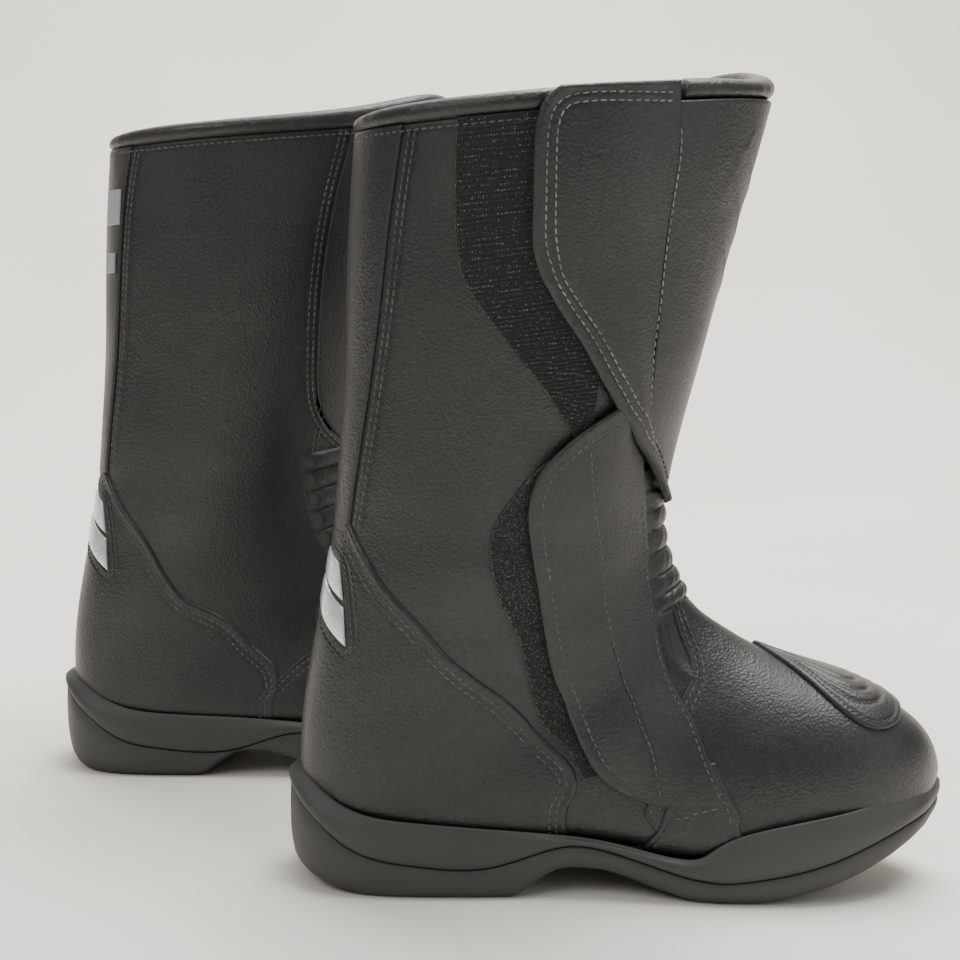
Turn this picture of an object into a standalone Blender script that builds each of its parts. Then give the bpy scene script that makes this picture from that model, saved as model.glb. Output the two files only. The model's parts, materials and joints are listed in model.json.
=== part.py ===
"""A pair of mid-calf leather riding boots, standing side by side.

Each boot is a bent tube of cross-sections that run from the rim, round the ankle, to the
toe. Every panel, strip and flap is a patch of that tube, held between two distances from it.
"""

import math

import bmesh
import bpy
import numpy as np
from mathutils import Vector

MM = 0.001

# Overall sizes of one boot
sole_length = 305 * MM
rim_height = 351 * MM
shaft_width = 114 * MM

# Thicknesses
leather = 2.0 * MM
stiffener = 1.0 * MM
lining_cloth = 2.2 * MM
board = 2.0 * MM
footbed_foam = 4.0 * MM
overlay_leather = 1.3 * MM
strip_cloth = 1.0 * MM
hook_cloth = 0.9 * MM
flap_leather = 1.6 * MM
shin_padding = 3.4 * MM
roll_padding = 3.2 * MM
toe_padding = 2.6 * MM
collar_padding = 9.0 * MM
outsole_floor = 5.0 * MM
outsole_lip = 4.5 * MM

# Clearances
seam_gap = 0.5 * MM
ply_gap = 0.6 * MM
cup_gap = 1.15 * MM
lining_gap = 3.0 * MM
slider_room = 1.6 * MM

# Zip and its slider
zip_slot = 10.0 * MM
zip_travel = 58.0 * MM
slider_length = 11.0 * MM
slider_width = 7.6 * MM
slider_body = 1.8 * MM
puller_length = 15.0 * MM
puller_width = 5.0 * MM
puller_body = 0.8 * MM

# The second boot stands beside and behind the first
second_boot_back = -132.2 * MM
second_boot_side = 171.0 * MM
second_boot_turn = math.radians(4.54)

# Outlines below are fractions of the sole length and of the rim height.
FRONT_LINE = (
    ((0.679, 1), (0.656, 0.92), (0.623, 0.803), (0.59, 0.684), (0.564, 0.584), (0.548, 0.507),
    (0.551, 0.447)),
    ((0.57, 0.396), (0.593, 0.365), (0.623, 0.34), (0.659, 0.321), (0.698, 0.302), (0.744, 0.283),
    (0.793, 0.271)),
    ((0.846, 0.256), (0.895, 0.238), (0.938, 0.214), (0.967, 0.184), (0.984, 0.145)),
)
BACK_LINE = (
    ((0.095, 0.949), (0.089, 0.866), (0.085, 0.746), (0.082, 0.63), (0.075, 0.521), (0.066, 0.427),
    (0.046, 0.33)),
    ((0.026, 0.228), (0.023, 0.142), (0.062, 0.068), (0.203, 0.057), (0.377, 0.063), (0.541, 0.048),
    (0.682, 0.04)),
    ((0.797, 0.048), (0.879, 0.063), (0.934, 0.083), (0.964, 0.105), (0.982, 0.134)),
)
# Half widths towards the other boot and away from it, as fractions of the shaft width
INNER_WIDTHS = (
    0.491, 0.474, 0.447, 0.417, 0.386, 0.36, 0.338, 0.325, 0.32, 0.32, 0.329, 0.346, 0.377, 0.395, 0.368,
    0.307, 0.211, 0.114, 0.018
)
OUTER_WIDTHS = (
    0.509, 0.491, 0.465, 0.434, 0.404, 0.377, 0.355, 0.333, 0.329, 0.338, 0.364, 0.399, 0.425, 0.421,
    0.377, 0.307, 0.211, 0.114, 0.018
)
# Sideways place of the middle of each section, as a fraction of the shaft width
MIDDLE_LINE = (
    0, 0, 0, 0, 0, 0, 0, 0, 0, 0, 0, 0, -0.009, -0.018, -0.035, -0.053, -0.07, -0.07, -0.07
)
# Where each section is widest, from its front to its back, and how square its halves are
WIDEST = (0.5, 0.5, 0.5, 0.5, 0.52, 0.55, 0.58, 0.62, 0.66, 0.7, 0.72, 0.72, 0.72, 0.7, 0.66, 0.62, 0.57,
          0.53, 0.5)
FRONT_SQUARE = (2.2, 2.2, 2.15, 2.1, 2.05, 2.0, 2.0, 2.0, 2.0, 2.0, 2.0, 2.1, 2.2, 2.3, 2.4, 2.4, 2.3,
                2.2, 2.0)
BACK_SQUARE = (2.2, 2.2, 2.2, 2.2, 2.2, 2.2, 2.2, 2.3, 2.4, 2.8, 3.2, 3.6, 3.8, 3.8, 3.6, 3.2, 2.6,
               2.2, 2.0)

# Seams and edges, seen from the side, top to bottom
INNER_BACK_SEAM = ((0.161, 0.966), (0.151, 0.903), (0.134, 0.772), (0.115, 0.624), (0.095, 0.496))
OUTER_BACK_SEAM = ((0.138, 0.957), (0.121, 0.875), (0.108, 0.695), (0.092, 0.527), (0.089, 0.484))
INNER_COUNTER_SEAM = ((0.082, 0.481), (0.134, 0.405), (0.233, 0.311), (0.348, 0.228), (0.407, 0.182),
    (0.42, 0.148), (0.407, 0.103))
OUTER_COUNTER_SEAM = ((0.082, 0.462), (0.161, 0.356), (0.298, 0.239), (0.367, 0.182), (0.384, 0.148),
    (0.374, 0.105))
LOOP_STRIP_REAR = ((0.233, 0.974), (0.233, 0.809), (0.246, 0.769), (0.305, 0.698), (0.384, 0.61),
    (0.403, 0.587))
LOOP_STRIP_FRONT = ((0.397, 0.983), (0.397, 0.806), (0.413, 0.735), (0.433, 0.678), (0.43, 0.632),
    (0.42, 0.593))
ANKLE_STRIP_REAR = ((0.364, 0.556), (0.325, 0.513), (0.289, 0.464), (0.298, 0.39), (0.338, 0.316),
    (0.397, 0.199), (0.426, 0.165))
ANKLE_STRIP_FRONT = ((0.449, 0.564), (0.452, 0.513), (0.456, 0.456), (0.469, 0.39), (0.489, 0.308),
    (0.502, 0.239), (0.508, 0.188))
UPPER_FLAP_REAR = ((0.348, 0.977), (0.331, 0.954), (0.331, 0.821), (0.341, 0.783), (0.407, 0.701),
    (0.479, 0.624), (0.498, 0.595))
LOWER_FLAP_HINGE = ((0.516, 0.501), (0.541, 0.395), (0.564, 0.288))
LOWER_FLAP_FRONT = ((0.449, 0.621), (0.497, 0.561), (0.516, 0.504), (0.541, 0.395), (0.564, 0.288),
    (0.57, 0.222), (0.557, 0.162))
LOWER_FLAP_MIDDLE = ((0.439, 0.613), (0.452, 0.558), (0.462, 0.507), (0.466, 0.456), (0.479, 0.387),
    (0.495, 0.305), (0.511, 0.234), (0.528, 0.154))
LOWER_FLAP_REAR = ((0.393, 0.59), (0.348, 0.541), (0.334, 0.501), (0.354, 0.393), (0.39, 0.276),
    (0.43, 0.185), (0.492, 0.145))
SHIN_OUTER_SEAM = ((0.502, 0.989), (0.472, 0.88), (0.449, 0.732), (0.449, 0.584), (0.469, 0.541),
    (0.498, 0.516))
SHIN_INNER_SEAM = ((0.525, 0.986), (0.518, 0.872), (0.508, 0.695), (0.503, 0.595), (0.515, 0.558),
    (0.525, 0.524))
FLEX_OUTER_BORDER = ((0.446, 0.55), (0.436, 0.524), (0.433, 0.479), (0.443, 0.419), (0.466, 0.365),
    (0.489, 0.33))
ZIP_LINE = ((0.426, 0.98), (0.426, 0.889), (0.43, 0.801), (0.446, 0.729), (0.467, 0.658),
    (0.479, 0.593), (0.485, 0.524), (0.495, 0.45), (0.505, 0.385), (0.518, 0.319), (0.528, 0.274))
QUARTER_REAR = ((0.528, 0.262), (0.518, 0.199), (0.498, 0.137), (0.485, 0.074))
VAMP_INNER_SEAM = ((0.566, 0.276), (0.59, 0.242), (0.636, 0.137))
VAMP_OUTER_SEAM = ((0.489, 0.316), (0.402, 0.16))
FLEX_SIDE = ((0.526, 0.517), (0.556, 0.339))
FLEX_OUTER_SIDE = ((0.508, 0.494), (0.534, 0.345))
TONGUE_EDGE = (0.562, 0.333)
ZIP_START = 12.0 * MM
TOE_PAD_INNER = ((12.6, -22), (13.1, -36), (14.2, -50), (15.4, -56), (16.2, -48))
TOE_PAD_OUTER = ((12.6, -10), (13.1, 4), (14.2, 14), (15.4, 16), (16.2, 6))
# How far round the section the upper is turned under the foot, in degrees, along the sections
FOOT_EDGE = ((8.95, 172), (9.15, 158), (9.6, 146), (10.5, 139), (12.0, 136), (15.0, 136), (16.6, 146),
             (17.3, 166))
# Sole outline in plan with the heights of its groove and of its top edge
SOLE_INNER = (
    ((0, 0, 0.125, 0.145), (0.013, -0.167, 0.114, 0.14), (0.046, -0.281, 0.091, 0.125),
    (0.105, -0.346, 0.06, 0.108), (0.19, -0.373, 0.046, 0.098), (0.295, -0.377, 0.043, 0.091)),
    ((0.393, -0.377, 0.068, 0.085), (0.475, -0.395, 0.063, 0.077), (0.564, -0.43, 0.04, 0.06),
    (0.607, -0.447, 0.031, 0.068), (0.649, -0.461, 0.031, 0.088)),
    ((0.748, -0.469, 0.043, 0.108), (0.839, -0.439, 0.066, 0.123), (0.921, -0.36, 0.097, 0.137),
    (0.974, -0.219, 0.114, 0.145), (0.997, -0.07, 0.123, 0.151)),
)
SOLE_OUTER = (
    ((0.013, 0.167, 0.114, 0.14), (0.046, 0.281, 0.091, 0.125), (0.105, 0.355, 0.06, 0.108),
    (0.19, 0.39, 0.046, 0.098), (0.295, 0.412, 0.043, 0.094), (0.393, 0.439, 0.068, 0.091)),
    ((0.475, 0.461, 0.063, 0.083), (0.564, 0.474, 0.04, 0.068), (0.607, 0.476, 0.031, 0.074),
    (0.649, 0.474, 0.031, 0.088), (0.748, 0.447, 0.043, 0.108)),
    ((0.839, 0.382, 0.066, 0.123), (0.921, 0.246, 0.097, 0.137), (0.974, 0.088, 0.114, 0.145)),
)
SOLE_UNDERSIDE = ((0, 0.023), (0.016, 0.014), (0.039, 0.008), (0.072, 0.003), (0.111, 0), (0.334, 0),
    (0.354, 0.014), (0.387, 0.037), (0.459, 0.037), (0.525, 0.017), (0.584, 0), (0.705, 0),
    (0.754, 0.006), (0.803, 0.013), (0.859, 0.026), (0.918, 0.044), (0.961, 0.061), (1, 0.077))
bottom_inset = 9.0 * MM
top_inset = 2.2 * MM


def natural_spline(points, count_at):
    """Curve values at the given places along evenly spaced points, smooth in slope and bend."""
    points = np.asarray(points, float)
    last = len(points) - 1
    matrix = np.eye(last + 1)
    rhs = np.zeros_like(points)
    for i in range(1, last):
        matrix[i, i - 1:i + 2] = (1, 4, 1)
        rhs[i] = 6 * (points[i - 1] - 2 * points[i] + points[i + 1])
    bend = np.linalg.solve(matrix, rhs)
    place = np.clip(np.asarray(count_at, float), 0, last)
    low = np.minimum(place.astype(int), last - 1)
    f = (place - low)[..., None]
    start = points[low] * (1 - f) + points[low + 1] * f
    return start + (((1 - f) ** 3 - (1 - f)) * bend[low] + (f ** 3 - f) * bend[low + 1]) / 6


def join_rows(groups):
    """One list of points from a few short groups."""
    return [point for group in groups for point in group]


def section_table():
    """All cross-section values in metres, one row for each section from the rim to the toe."""
    size = np.array([sole_length, rim_height])
    front = np.array(join_rows(FRONT_LINE)) * size
    back = np.array(join_rows(BACK_LINE)) * size
    side = np.array([INNER_WIDTHS, OUTER_WIDTHS, MIDDLE_LINE]).T * shaft_width
    shape = np.array([WIDEST, FRONT_SQUARE, BACK_SQUARE]).T
    return np.hstack([front, back, side, shape])


SECTIONS = section_table()
LAST = len(SECTIONS) - 1
SAMPLES = np.linspace(0, LAST, 721)
SAMPLED = natural_spline(SECTIONS, SAMPLES)


def tube(s, turn):
    """Point of the boot's tube at section s, turned round it from the front (radians)."""
    s = np.asarray(s, float)
    turn = (np.asarray(turn, float) + math.pi) % (2 * math.pi) - math.pi
    row = np.stack([np.interp(s, SAMPLES, column) for column in SAMPLED.T], -1)
    fx, fz, bx, bz, inner, outer, middle, widest, front_square, back_square = np.moveaxis(row, -1, 0)
    across = np.cos(turn)
    power = np.where(across > 0, front_square, back_square)
    along = np.abs(across) ** (2 / power)
    out = np.abs(np.sin(turn)) ** (2 / power)
    t = np.where(across > 0, widest * (1 - along), widest + along * (1 - widest))
    half = np.where(turn > 0, outer, inner) * np.sign(turn)
    return np.stack([fx + t * (bx - fx), middle + half * out, fz + t * (bz - fz)], -1)


def tube_frame(s, turn):
    """Point, direction along the boot, direction round it, and outward normal."""
    ds, dt = 0.02, 0.02
    low, high = np.clip(s - ds, 0, LAST), np.clip(s + ds, 0, LAST)
    along = (tube(high, turn) - tube(low, turn)) / (high - low)[..., None]
    round_it = (tube(s, turn + dt) - tube(s, turn - dt)) / (2 * dt)
    normal = np.cross(along, round_it)
    normal /= np.maximum(np.linalg.norm(normal, axis=-1, keepdims=True), 1e-9)
    return tube(s, turn), along, round_it, normal


def lifted(s, turn, lift):
    """Point at a distance outward from the tube."""
    s, turn, lift = np.broadcast_arrays(*(np.asarray(v, float) for v in (s, turn, lift)))
    point, _, _, normal = tube_frame(s, turn)
    return point + normal * lift[..., None]


def on_tube(points, side):
    """Section and turn of side-view points; side is -1 towards the other boot and 1 away."""
    points = np.asarray(points, float) * np.array([sole_length, rim_height])
    found = []
    for x, z in points:
        fx, fz, bx, bz = SAMPLED[:, :4].T
        cross = (x - fx) * (bz - fz) - (z - fz) * (bx - fx)
        inside = ((x - fx) * (bx - fx) + (z - fz) * (bz - fz)) / ((bx - fx) ** 2 + (bz - fz) ** 2)
        near = np.where((inside > -0.2) & (inside < 1.2), np.abs(cross), 1e9)
        i = int(np.argmin(near))
        t = float(np.clip(inside[i], 0.0, 1.0))
        widest, front_square, back_square = SAMPLED[i, 7:10]
        if t < widest:
            turn = math.acos((1 - t / widest) ** (front_square / 2))
        else:
            turn = math.pi - math.acos(((t - widest) / (1 - widest)) ** (back_square / 2))
        found.append((SAMPLES[i], side * turn))
    return np.array(found)


def rail(points, count, side=-1):
    """Evenly spaced places on the tube along a side-view line."""
    return spread(on_tube(points, side), count)


def spread(places, count):
    """Places evenly spaced by length along a line of places on the tube."""
    places = np.asarray(places, float)
    fine = np.linspace(0, len(places) - 1, 40 * (len(places) - 1) + 1)
    steps = np.arange(len(places))
    dense = np.stack([np.interp(fine, steps, places[:, 0]), np.interp(fine, steps, places[:, 1])], -1)
    length = np.linalg.norm(np.diff(tube(dense[:, 0], dense[:, 1]), axis=0), axis=1)
    run = np.concatenate([[0], np.cumsum(length)])
    want = np.linspace(0, run[-1], count)
    return np.stack([np.interp(want, run, dense[:, 0]), np.interp(want, run, dense[:, 1])], -1)


def moved(places, distance):
    """A line on the tube moved sideways by a distance, to the left of its own direction."""
    s, turn = places[:, 0], places[:, 1]
    point, along, round_it, normal = tube_frame(s, turn)
    ahead = np.gradient(point, axis=0)
    ahead /= np.linalg.norm(ahead, axis=1, keepdims=True)
    aside = np.cross(normal, ahead) * distance
    a, b, c = (along * along).sum(1), (along * round_it).sum(1), (round_it * round_it).sum(1)
    p, q = (aside * along).sum(1), (aside * round_it).sum(1)
    det = a * c - b * b
    return np.stack([s + (c * p - b * q) / det, turn + (a * q - b * p) / det], -1)


def degrees(places):
    """Places given as (section, degrees) turned to radians."""
    return np.array([(s, math.radians(turn)) for s, turn in places])


def wrapped(places):
    """The same places with their turn counted from 0 to a full turn, for lines behind the leg."""
    places = places.copy()
    places[:, 1] %= 2 * math.pi
    return places


def foot_edge(s):
    """How far round the section the upper reaches under the foot, in radians."""
    table = np.array(FOOT_EDGE)
    return np.radians(np.interp(s, table[:, 0], table[:, 1]))


PARTS = []


def add_part(name, points, faces, material, pivot=(0, 0, 0), smooth=40):
    PARTS.append(dict(name=name, points=np.asarray(points, float), faces=faces, material=material,
                      pivot=np.asarray(pivot, float), smooth=smooth))


def shell_faces(rows, columns, closed=False):
    """Faces of a sheet with an inner and an outer skin, walled all round its border."""
    skin = rows * columns
    wrap = columns if closed else columns - 1
    faces = []
    for i in range(rows - 1):
        for j in range(wrap):
            a, b = i * columns + j, i * columns + (j + 1) % columns
            faces.append((a, b, b + columns, a + columns))
            faces.append((skin + a, skin + a + columns, skin + b + columns, skin + b))
    border = []
    if not closed:
        border += [(i * columns, (i + 1) * columns) for i in range(rows - 1)]
        border += [((i + 1) * columns - 1, (i + 2) * columns - 1) for i in range(rows - 1)]
    for i in (0, rows - 1):
        border += [(i * columns + j, i * columns + (j + 1) % columns) for j in range(wrap)]
    faces += [(a, b, skin + b, skin + a) for a, b in border]
    return faces


def add_panel(name, rails, columns, inner, outer, material, pivot=(0, 0, 0), rows=None):
    """A patch of the boot strung between lines on the tube, from one distance to another.

    inner and outer hold a distance for each line, or a function of (row, column) arrays.
    """
    s, turn, low, high = [], [], [], []
    for k, count in enumerate(columns):
        f = np.arange(count) / count
        if k == len(columns) - 1:
            f = np.arange(count + 1) / count
        for x in f:
            place = rails[k] * (1 - x) + rails[k + 1] * x
            s.append(place[:, 0])
            turn.append(place[:, 1])
            low.append(inner[k] * (1 - x) + inner[k + 1] * x + 0 * place[:, 0])
            high.append(outer[k] * (1 - x) + outer[k + 1] * x + 0 * place[:, 0])
    s, turn, low, high = (np.array(v).T for v in (s, turn, low, high))
    if rows is not None:
        low, high = rows(s, turn, low, high)
    points = np.concatenate([lifted(s, turn, low).reshape(-1, 3), lifted(s, turn, high).reshape(-1, 3)])
    add_part(name, points, shell_faces(*s.shape), material, pivot)


# Distances outward from the tube
PANEL_IN = -leather
STIFF_OUT = PANEL_IN - ply_gap
STIFF_IN = STIFF_OUT - stiffener
LINING_OUT = STIFF_IN - lining_gap - 0.2 * MM
LINING_IN = LINING_OUT - lining_cloth
COUNTER_OUT = 0.7 * MM
OVER_IN = ply_gap + 0.1 * MM
OVER_OUT = OVER_IN + overlay_leather
STRIP_OUT = ply_gap + strip_cloth
HOOK_IN = STRIP_OUT + ply_gap
HOOK_OUT = HOOK_IN + hook_cloth
FLAP_IN = HOOK_OUT + ply_gap
FLAP_OUT = FLAP_IN + flap_leather
SHIN_OUT = shin_padding
# The puller lies between the slider and the flap over it
SLIDER_IN = 0.4 * MM
PULLER_IN = SLIDER_IN + slider_body + seam_gap
PULLER_OUT = PULLER_IN + puller_body
FLAP_OVER_ZIP = PULLER_OUT + slider_room


def line_from(start, end, count):
    """Evenly spaced places on a straight line between two places on the tube."""
    return spread(np.array([start, end]), count)


def at_foot(s, side):
    """The place where section s is turned under the foot."""
    return s, side * foot_edge(s)


def seam_line(points, side, foot=None, start=None):
    """Places along a side-view line, with an optional first place and an end under the foot."""
    places = [tuple(p) for p in on_tube(points, side)]
    if start is not None:
        places.insert(0, start)
    if foot is not None:
        places.append(at_foot(foot, side))
    return np.array(places)


def zip_edge(distance, low, high, count):
    """A line beside the zip, between two fractions of the zip's length."""
    line = rail(ZIP_LINE, 61)
    part = line[int(round(low * 60)):int(round(high * 60)) + 1]
    return spread(moved(part, distance), count)


# Sections and places shared by neighbouring panels
COUNTER_TOP = 4.42
COUNTER_FOOT_INNER = 11.15
COUNTER_FOOT_OUTER = 10.95
QUARTER_FOOT = 11.75
VAMP_FOOT = 12.9
TOE_END = 17.45
LEG_ROWS = 14
HEEL_ROWS = 8
FLEX_TOP = 5.0
FLEX_END = 7.65


def build_leg_panels():
    gap = seam_gap / 2
    back = spread(seam_line(INNER_COUNTER_SEAM, -1, COUNTER_FOOT_INNER, (COUNTER_TOP, -math.pi)), 40)
    back = np.vstack([line_from((0, -math.pi), (COUNTER_TOP, -math.pi), 30)[:-1], back])
    back = spread(moved(spread(back, 60), 2 * gap), LEG_ROWS)
    front = np.vstack([zip_edge(-zip_slot / 2, 0, 0.97, 40),
                       moved(rail(QUARTER_REAR[1:3], 4), -4 * gap), [at_foot(QUARTER_FOOT - 0.1, -1)]])
    front = spread(front, LEG_ROWS)
    add_panel("inner_panel", [back, front], [9], [PANEL_IN] * 2, [0, 0], "smooth_leather")

    front = np.vstack([rail(SHIN_OUTER_SEAM[:4], 20, 1), rail(FLEX_OUTER_BORDER, 20, 1)])
    front[0, 0] = 0
    front = spread(moved(spread(front, 60), 2 * gap), LEG_ROWS)
    back = seam_line(OUTER_COUNTER_SEAM[:4], 1, None, (COUNTER_TOP, math.pi))
    back = np.vstack([line_from((0, math.pi), (COUNTER_TOP, math.pi), 30)[:-1], spread(back, 30)])
    back = spread(moved(spread(back, 60), -2 * gap), LEG_ROWS)
    add_panel("outer_panel", [front, back], [9], [PANEL_IN] * 2, [0, 0], "smooth_leather")

    under = zip_edge(zip_slot / 2, 0, 0.55, 9)
    inner = rail(SHIN_INNER_SEAM, 9)
    centre = line_from((0, 0), (FLEX_TOP - 0.06, 0), 9)
    outer = spread(moved(rail(SHIN_OUTER_SEAM, 30, 1), -gap), 9)
    inner[0, 0] = outer[0, 0] = under[0, 0] = 0
    step = moved(inner, -0.4 * MM)
    thick = SHIN_OUT - 0.6 * MM
    add_panel("shin_panel", [under, step, inner, centre, outer], [2, 1, 3, 4], [PANEL_IN] * 5,
              [0, 0, SHIN_OUT, thick, overlay_leather], "smooth_leather")


def build_flex_panel():
    count = 13
    under = zip_edge(zip_slot / 2, 0.575, 0.975, count)
    beside = line_from(*on_tube(FLEX_SIDE, -1), count)
    far = line_from(*on_tube(FLEX_OUTER_SIDE, 1), count)
    centre = line_from((FLEX_TOP, 0), (FLEX_END, 0), count)
    outer = spread(moved(rail(FLEX_OUTER_BORDER, 40, 1), -2 * seam_gap), count)

    def rolls(s, turn, low, high):
        wave = np.where(np.arange(count) % 2 == 1, 1.0, 0.0)[:, None]
        wave = wave * np.clip(high, 0, roll_padding) / roll_padding
        return low, 0.3 * MM + wave * roll_padding

    add_panel("flex_panel", [under, beside, centre, far, outer], [1, 2, 2, 1], [PANEL_IN] * 5,
              [0, 0, roll_padding, roll_padding, 0.3 * roll_padding], "padded_leather", rows=rolls)


def build_foot_panels():
    gap = seam_gap
    rear = seam_line(QUARTER_REAR, -1, QUARTER_FOOT)
    front = seam_line(VAMP_INNER_SEAM, -1, VAMP_FOOT)
    front = spread(moved(spread(front, 40), -2 * gap), 6)
    rear = spread(moved(spread(rear, 30), 3.4 * gap), 6)
    add_panel("quarter_panel", [rear, front], [3], [PANEL_IN] * 2, [0, 0], "smooth_leather")

    seam = on_tube(VAMP_INNER_SEAM, -1)
    starts = [at_foot(VAMP_FOOT, -1), tuple(seam[2]), tuple(seam[1]), tuple(on_tube([TONGUE_EDGE], -1)[0])]
    outer = on_tube(VAMP_OUTER_SEAM, 1)
    starts += [(FLEX_END + 0.12, 0.0), tuple(outer[0]), tuple(outer[1]), at_foot(COUNTER_FOOT_OUTER + 0.22, 1)]
    ends = (-166, -125, -80, -40, 0, 40, 110, 166)
    rails = []
    for (s, turn), end in zip(starts, ends):
        place = np.stack([np.linspace(s, TOE_END, 9), np.linspace(turn, math.radians(end), 9)], -1)
        if end in (-166, 166):
            place[:, 1] = foot_edge(place[:, 0]) * (1 if end > 0 else -1)
        rails.append(place)
    add_panel("vamp", rails, [2, 2, 2, 2, 2, 3, 2], [PANEL_IN] * 8, [0] * 8, "smooth_leather")

    top, bottom = heel_lines(14)
    add_panel("heel_counter", fan(top, bottom, HEEL_ROWS), [1] * 13, [PANEL_IN] * 14, [COUNTER_OUT] * 14,
              "smooth_leather")
    inside = [line[2:-1] for line in fan(top, bottom, HEEL_ROWS)[2:-2]]
    add_panel("heel_stiffener", inside, [1] * 9, [STIFF_IN] * 10, [STIFF_OUT] * 10, "board")

    low, high = STIFF_IN - ply_gap, STIFF_OUT - ply_gap
    rails = [np.stack([[14.6, 15.15, 15.7, 16.15, 16.6], np.full(5, math.radians(a))], -1)
             for a in range(-120, 121, 30)]
    add_panel("toe_puff", rails, [1] * 8, [low] * 9, [high] * 9, "board")


def heel_lines(count):
    """The upper seam and the lower edge of the heel counter, from inside to outside."""
    inner = seam_line(INNER_COUNTER_SEAM, -1, COUNTER_FOOT_INNER)[::-1]
    outer = seam_line(OUTER_COUNTER_SEAM, 1, COUNTER_FOOT_OUTER)
    top = np.vstack([wrapped(inner), [(COUNTER_TOP, math.pi)], wrapped(outer)])
    top = spread(moved(spread(top, 90), 4 * seam_gap), count)
    sections = np.array([COUNTER_FOOT_INNER - 0.1, 10.5, 9.6, 9.15, 8.95])
    left = np.stack([sections, 2 * math.pi - foot_edge(sections)], -1)
    right = np.stack([sections, foot_edge(sections)], -1)[::-1]
    right[-1] = (COUNTER_FOOT_OUTER - 0.1, foot_edge(COUNTER_FOOT_OUTER - 0.1))
    bottom = spread(np.vstack([left, right]), count)
    return top, bottom


def fan(top, bottom, rows):
    """Lines from each place of one line to the matching place of another."""
    return [np.linspace(a, b, rows) for a, b in zip(top, bottom)]


def build_overlays():
    inner = wrapped(rail(INNER_BACK_SEAM, 9))
    outer = wrapped(rail(OUTER_BACK_SEAM, 9, 1))
    inner[0, 0] = outer[0, 0] = 0
    add_panel("back_strip", [inner, outer], [5], [OVER_IN] * 2, [OVER_OUT] * 2, "smooth_leather")

    rails = [np.stack([np.linspace(0.95, 1.5, 3), np.full(3, math.radians(180 + a))], -1) for a in (14, 0, -14)]
    low = OVER_OUT + seam_gap
    add_panel("back_tab", rails, [1, 1], [low] * 3, [low + 0.8 * MM] * 3, "trim")

    rails = [np.stack([np.linspace(5.05, 6.2, 4), np.full(4, math.radians(180 + a))], -1)
             for a in (24, 12, 0, -12, -24)]
    low = COUNTER_OUT + seam_gap
    add_panel("heel_reflector", rails, [1, 1, 1, 1], [low] * 5, [low + 0.8 * MM] * 5, "reflector")

    inner, outer = spread(degrees(TOE_PAD_INNER), 6), spread(degrees(TOE_PAD_OUTER), 6)
    third = inner * 0.7 + outer * 0.3
    far = inner * 0.3 + outer * 0.7

    def pad(s, turn, low, high):
        high = high.copy()
        high[0] = high[-1] = OVER_IN + 0.9 * MM
        return low, high

    add_panel("toe_pad", [inner, third, far, outer], [1, 2, 1], [OVER_IN + 0.2 * MM] * 4,
              [OVER_IN + 0.9 * MM, OVER_IN + toe_padding, OVER_IN + toe_padding, OVER_IN + 0.9 * MM],
              "padded_leather", rows=pad)


def build_straps():
    rear, front = rail(LOOP_STRIP_REAR, 9), rail(LOOP_STRIP_FRONT, 9)
    rear[0, 0] = front[0, 0] = 0
    add_panel("upper_loop_strip", [rear, front], [4], [ply_gap] * 2, [STRIP_OUT] * 2, "loop_cloth")
    rear, front = rail(ANKLE_STRIP_REAR, 8), rail(ANKLE_STRIP_FRONT, 8)
    low = ply_gap + 0.3 * MM
    add_panel("lower_loop_strip", [rear, front], [3], [low] * 2, [STRIP_OUT + 0.1 * MM] * 2, "loop_cloth")

    rear = spread(moved(rail(UPPER_FLAP_REAR, 50), 3 * MM)[6:30], 6)
    front = spread(moved(rail(LOOP_STRIP_FRONT, 50), -MM)[3:34], 6)
    add_panel("upper_flap_hook", [rear, front], [2], [HOOK_IN] * 2, [HOOK_OUT] * 2, "hook_cloth",
              pivot=hinge_points("upper")[0])
    rear = spread(moved(rail(LOWER_FLAP_REAR, 50), 3 * MM)[5:40], 7)
    front = spread(moved(rail(ANKLE_STRIP_FRONT, 50), -MM)[3:42], 7)
    add_panel("lower_flap_hook", [rear, front], [3], [HOOK_IN] * 2, [HOOK_OUT] * 2, "hook_cloth",
              pivot=hinge_points("lower")[0])


def hinge_points(which):
    """Top and bottom of a flap's hinge axis, held clear of the flap's outer skin."""
    line = rail(SHIN_INNER_SEAM[:4] if which == "upper" else LOWER_FLAP_HINGE, 9)
    lift = SHIN_OUT if which == "upper" else flap_leather + ply_gap
    points = lifted(line[:, 0], line[:, 1], lift + 0.3 * MM)
    _, _, _, normal = tube_frame(line[:, 0], line[:, 1])
    outward = normal.mean(axis=0)
    outward /= np.linalg.norm(outward)
    top, bottom = points[0], points[-1]
    straight = np.linspace(top, bottom, 9)
    bulge = max(0.0, float(((points - straight) @ outward).max()))
    return top + outward * bulge, bottom + outward * bulge


def build_flaps():
    hinge = spread(moved(rail(SHIN_INNER_SEAM[:4], 40), -2 * seam_gap), 9)
    over_zip = zip_edge(0, 0.0, 0.52, 9)
    rear = rail(UPPER_FLAP_REAR, 9)
    add_panel("upper_flap", [hinge, over_zip, rear], [2, 3],
              [SHIN_OUT - flap_leather, FLAP_OVER_ZIP, FLAP_IN],
              [SHIN_OUT, FLAP_OVER_ZIP + flap_leather, FLAP_OUT], "flap_leather", pivot=hinge_points("upper")[0])

    front = spread(moved(rail(LOWER_FLAP_FRONT, 50), -5 * seam_gap), 11)
    middle, rear = rail(LOWER_FLAP_MIDDLE, 11), rail(LOWER_FLAP_REAR, 11)
    add_panel("lower_flap", [front, middle, rear], [3, 3], [ply_gap, FLAP_IN, FLAP_IN],
              [ply_gap + flap_leather, FLAP_OUT, FLAP_OUT], "flap_leather", pivot=hinge_points("lower")[0])


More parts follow.
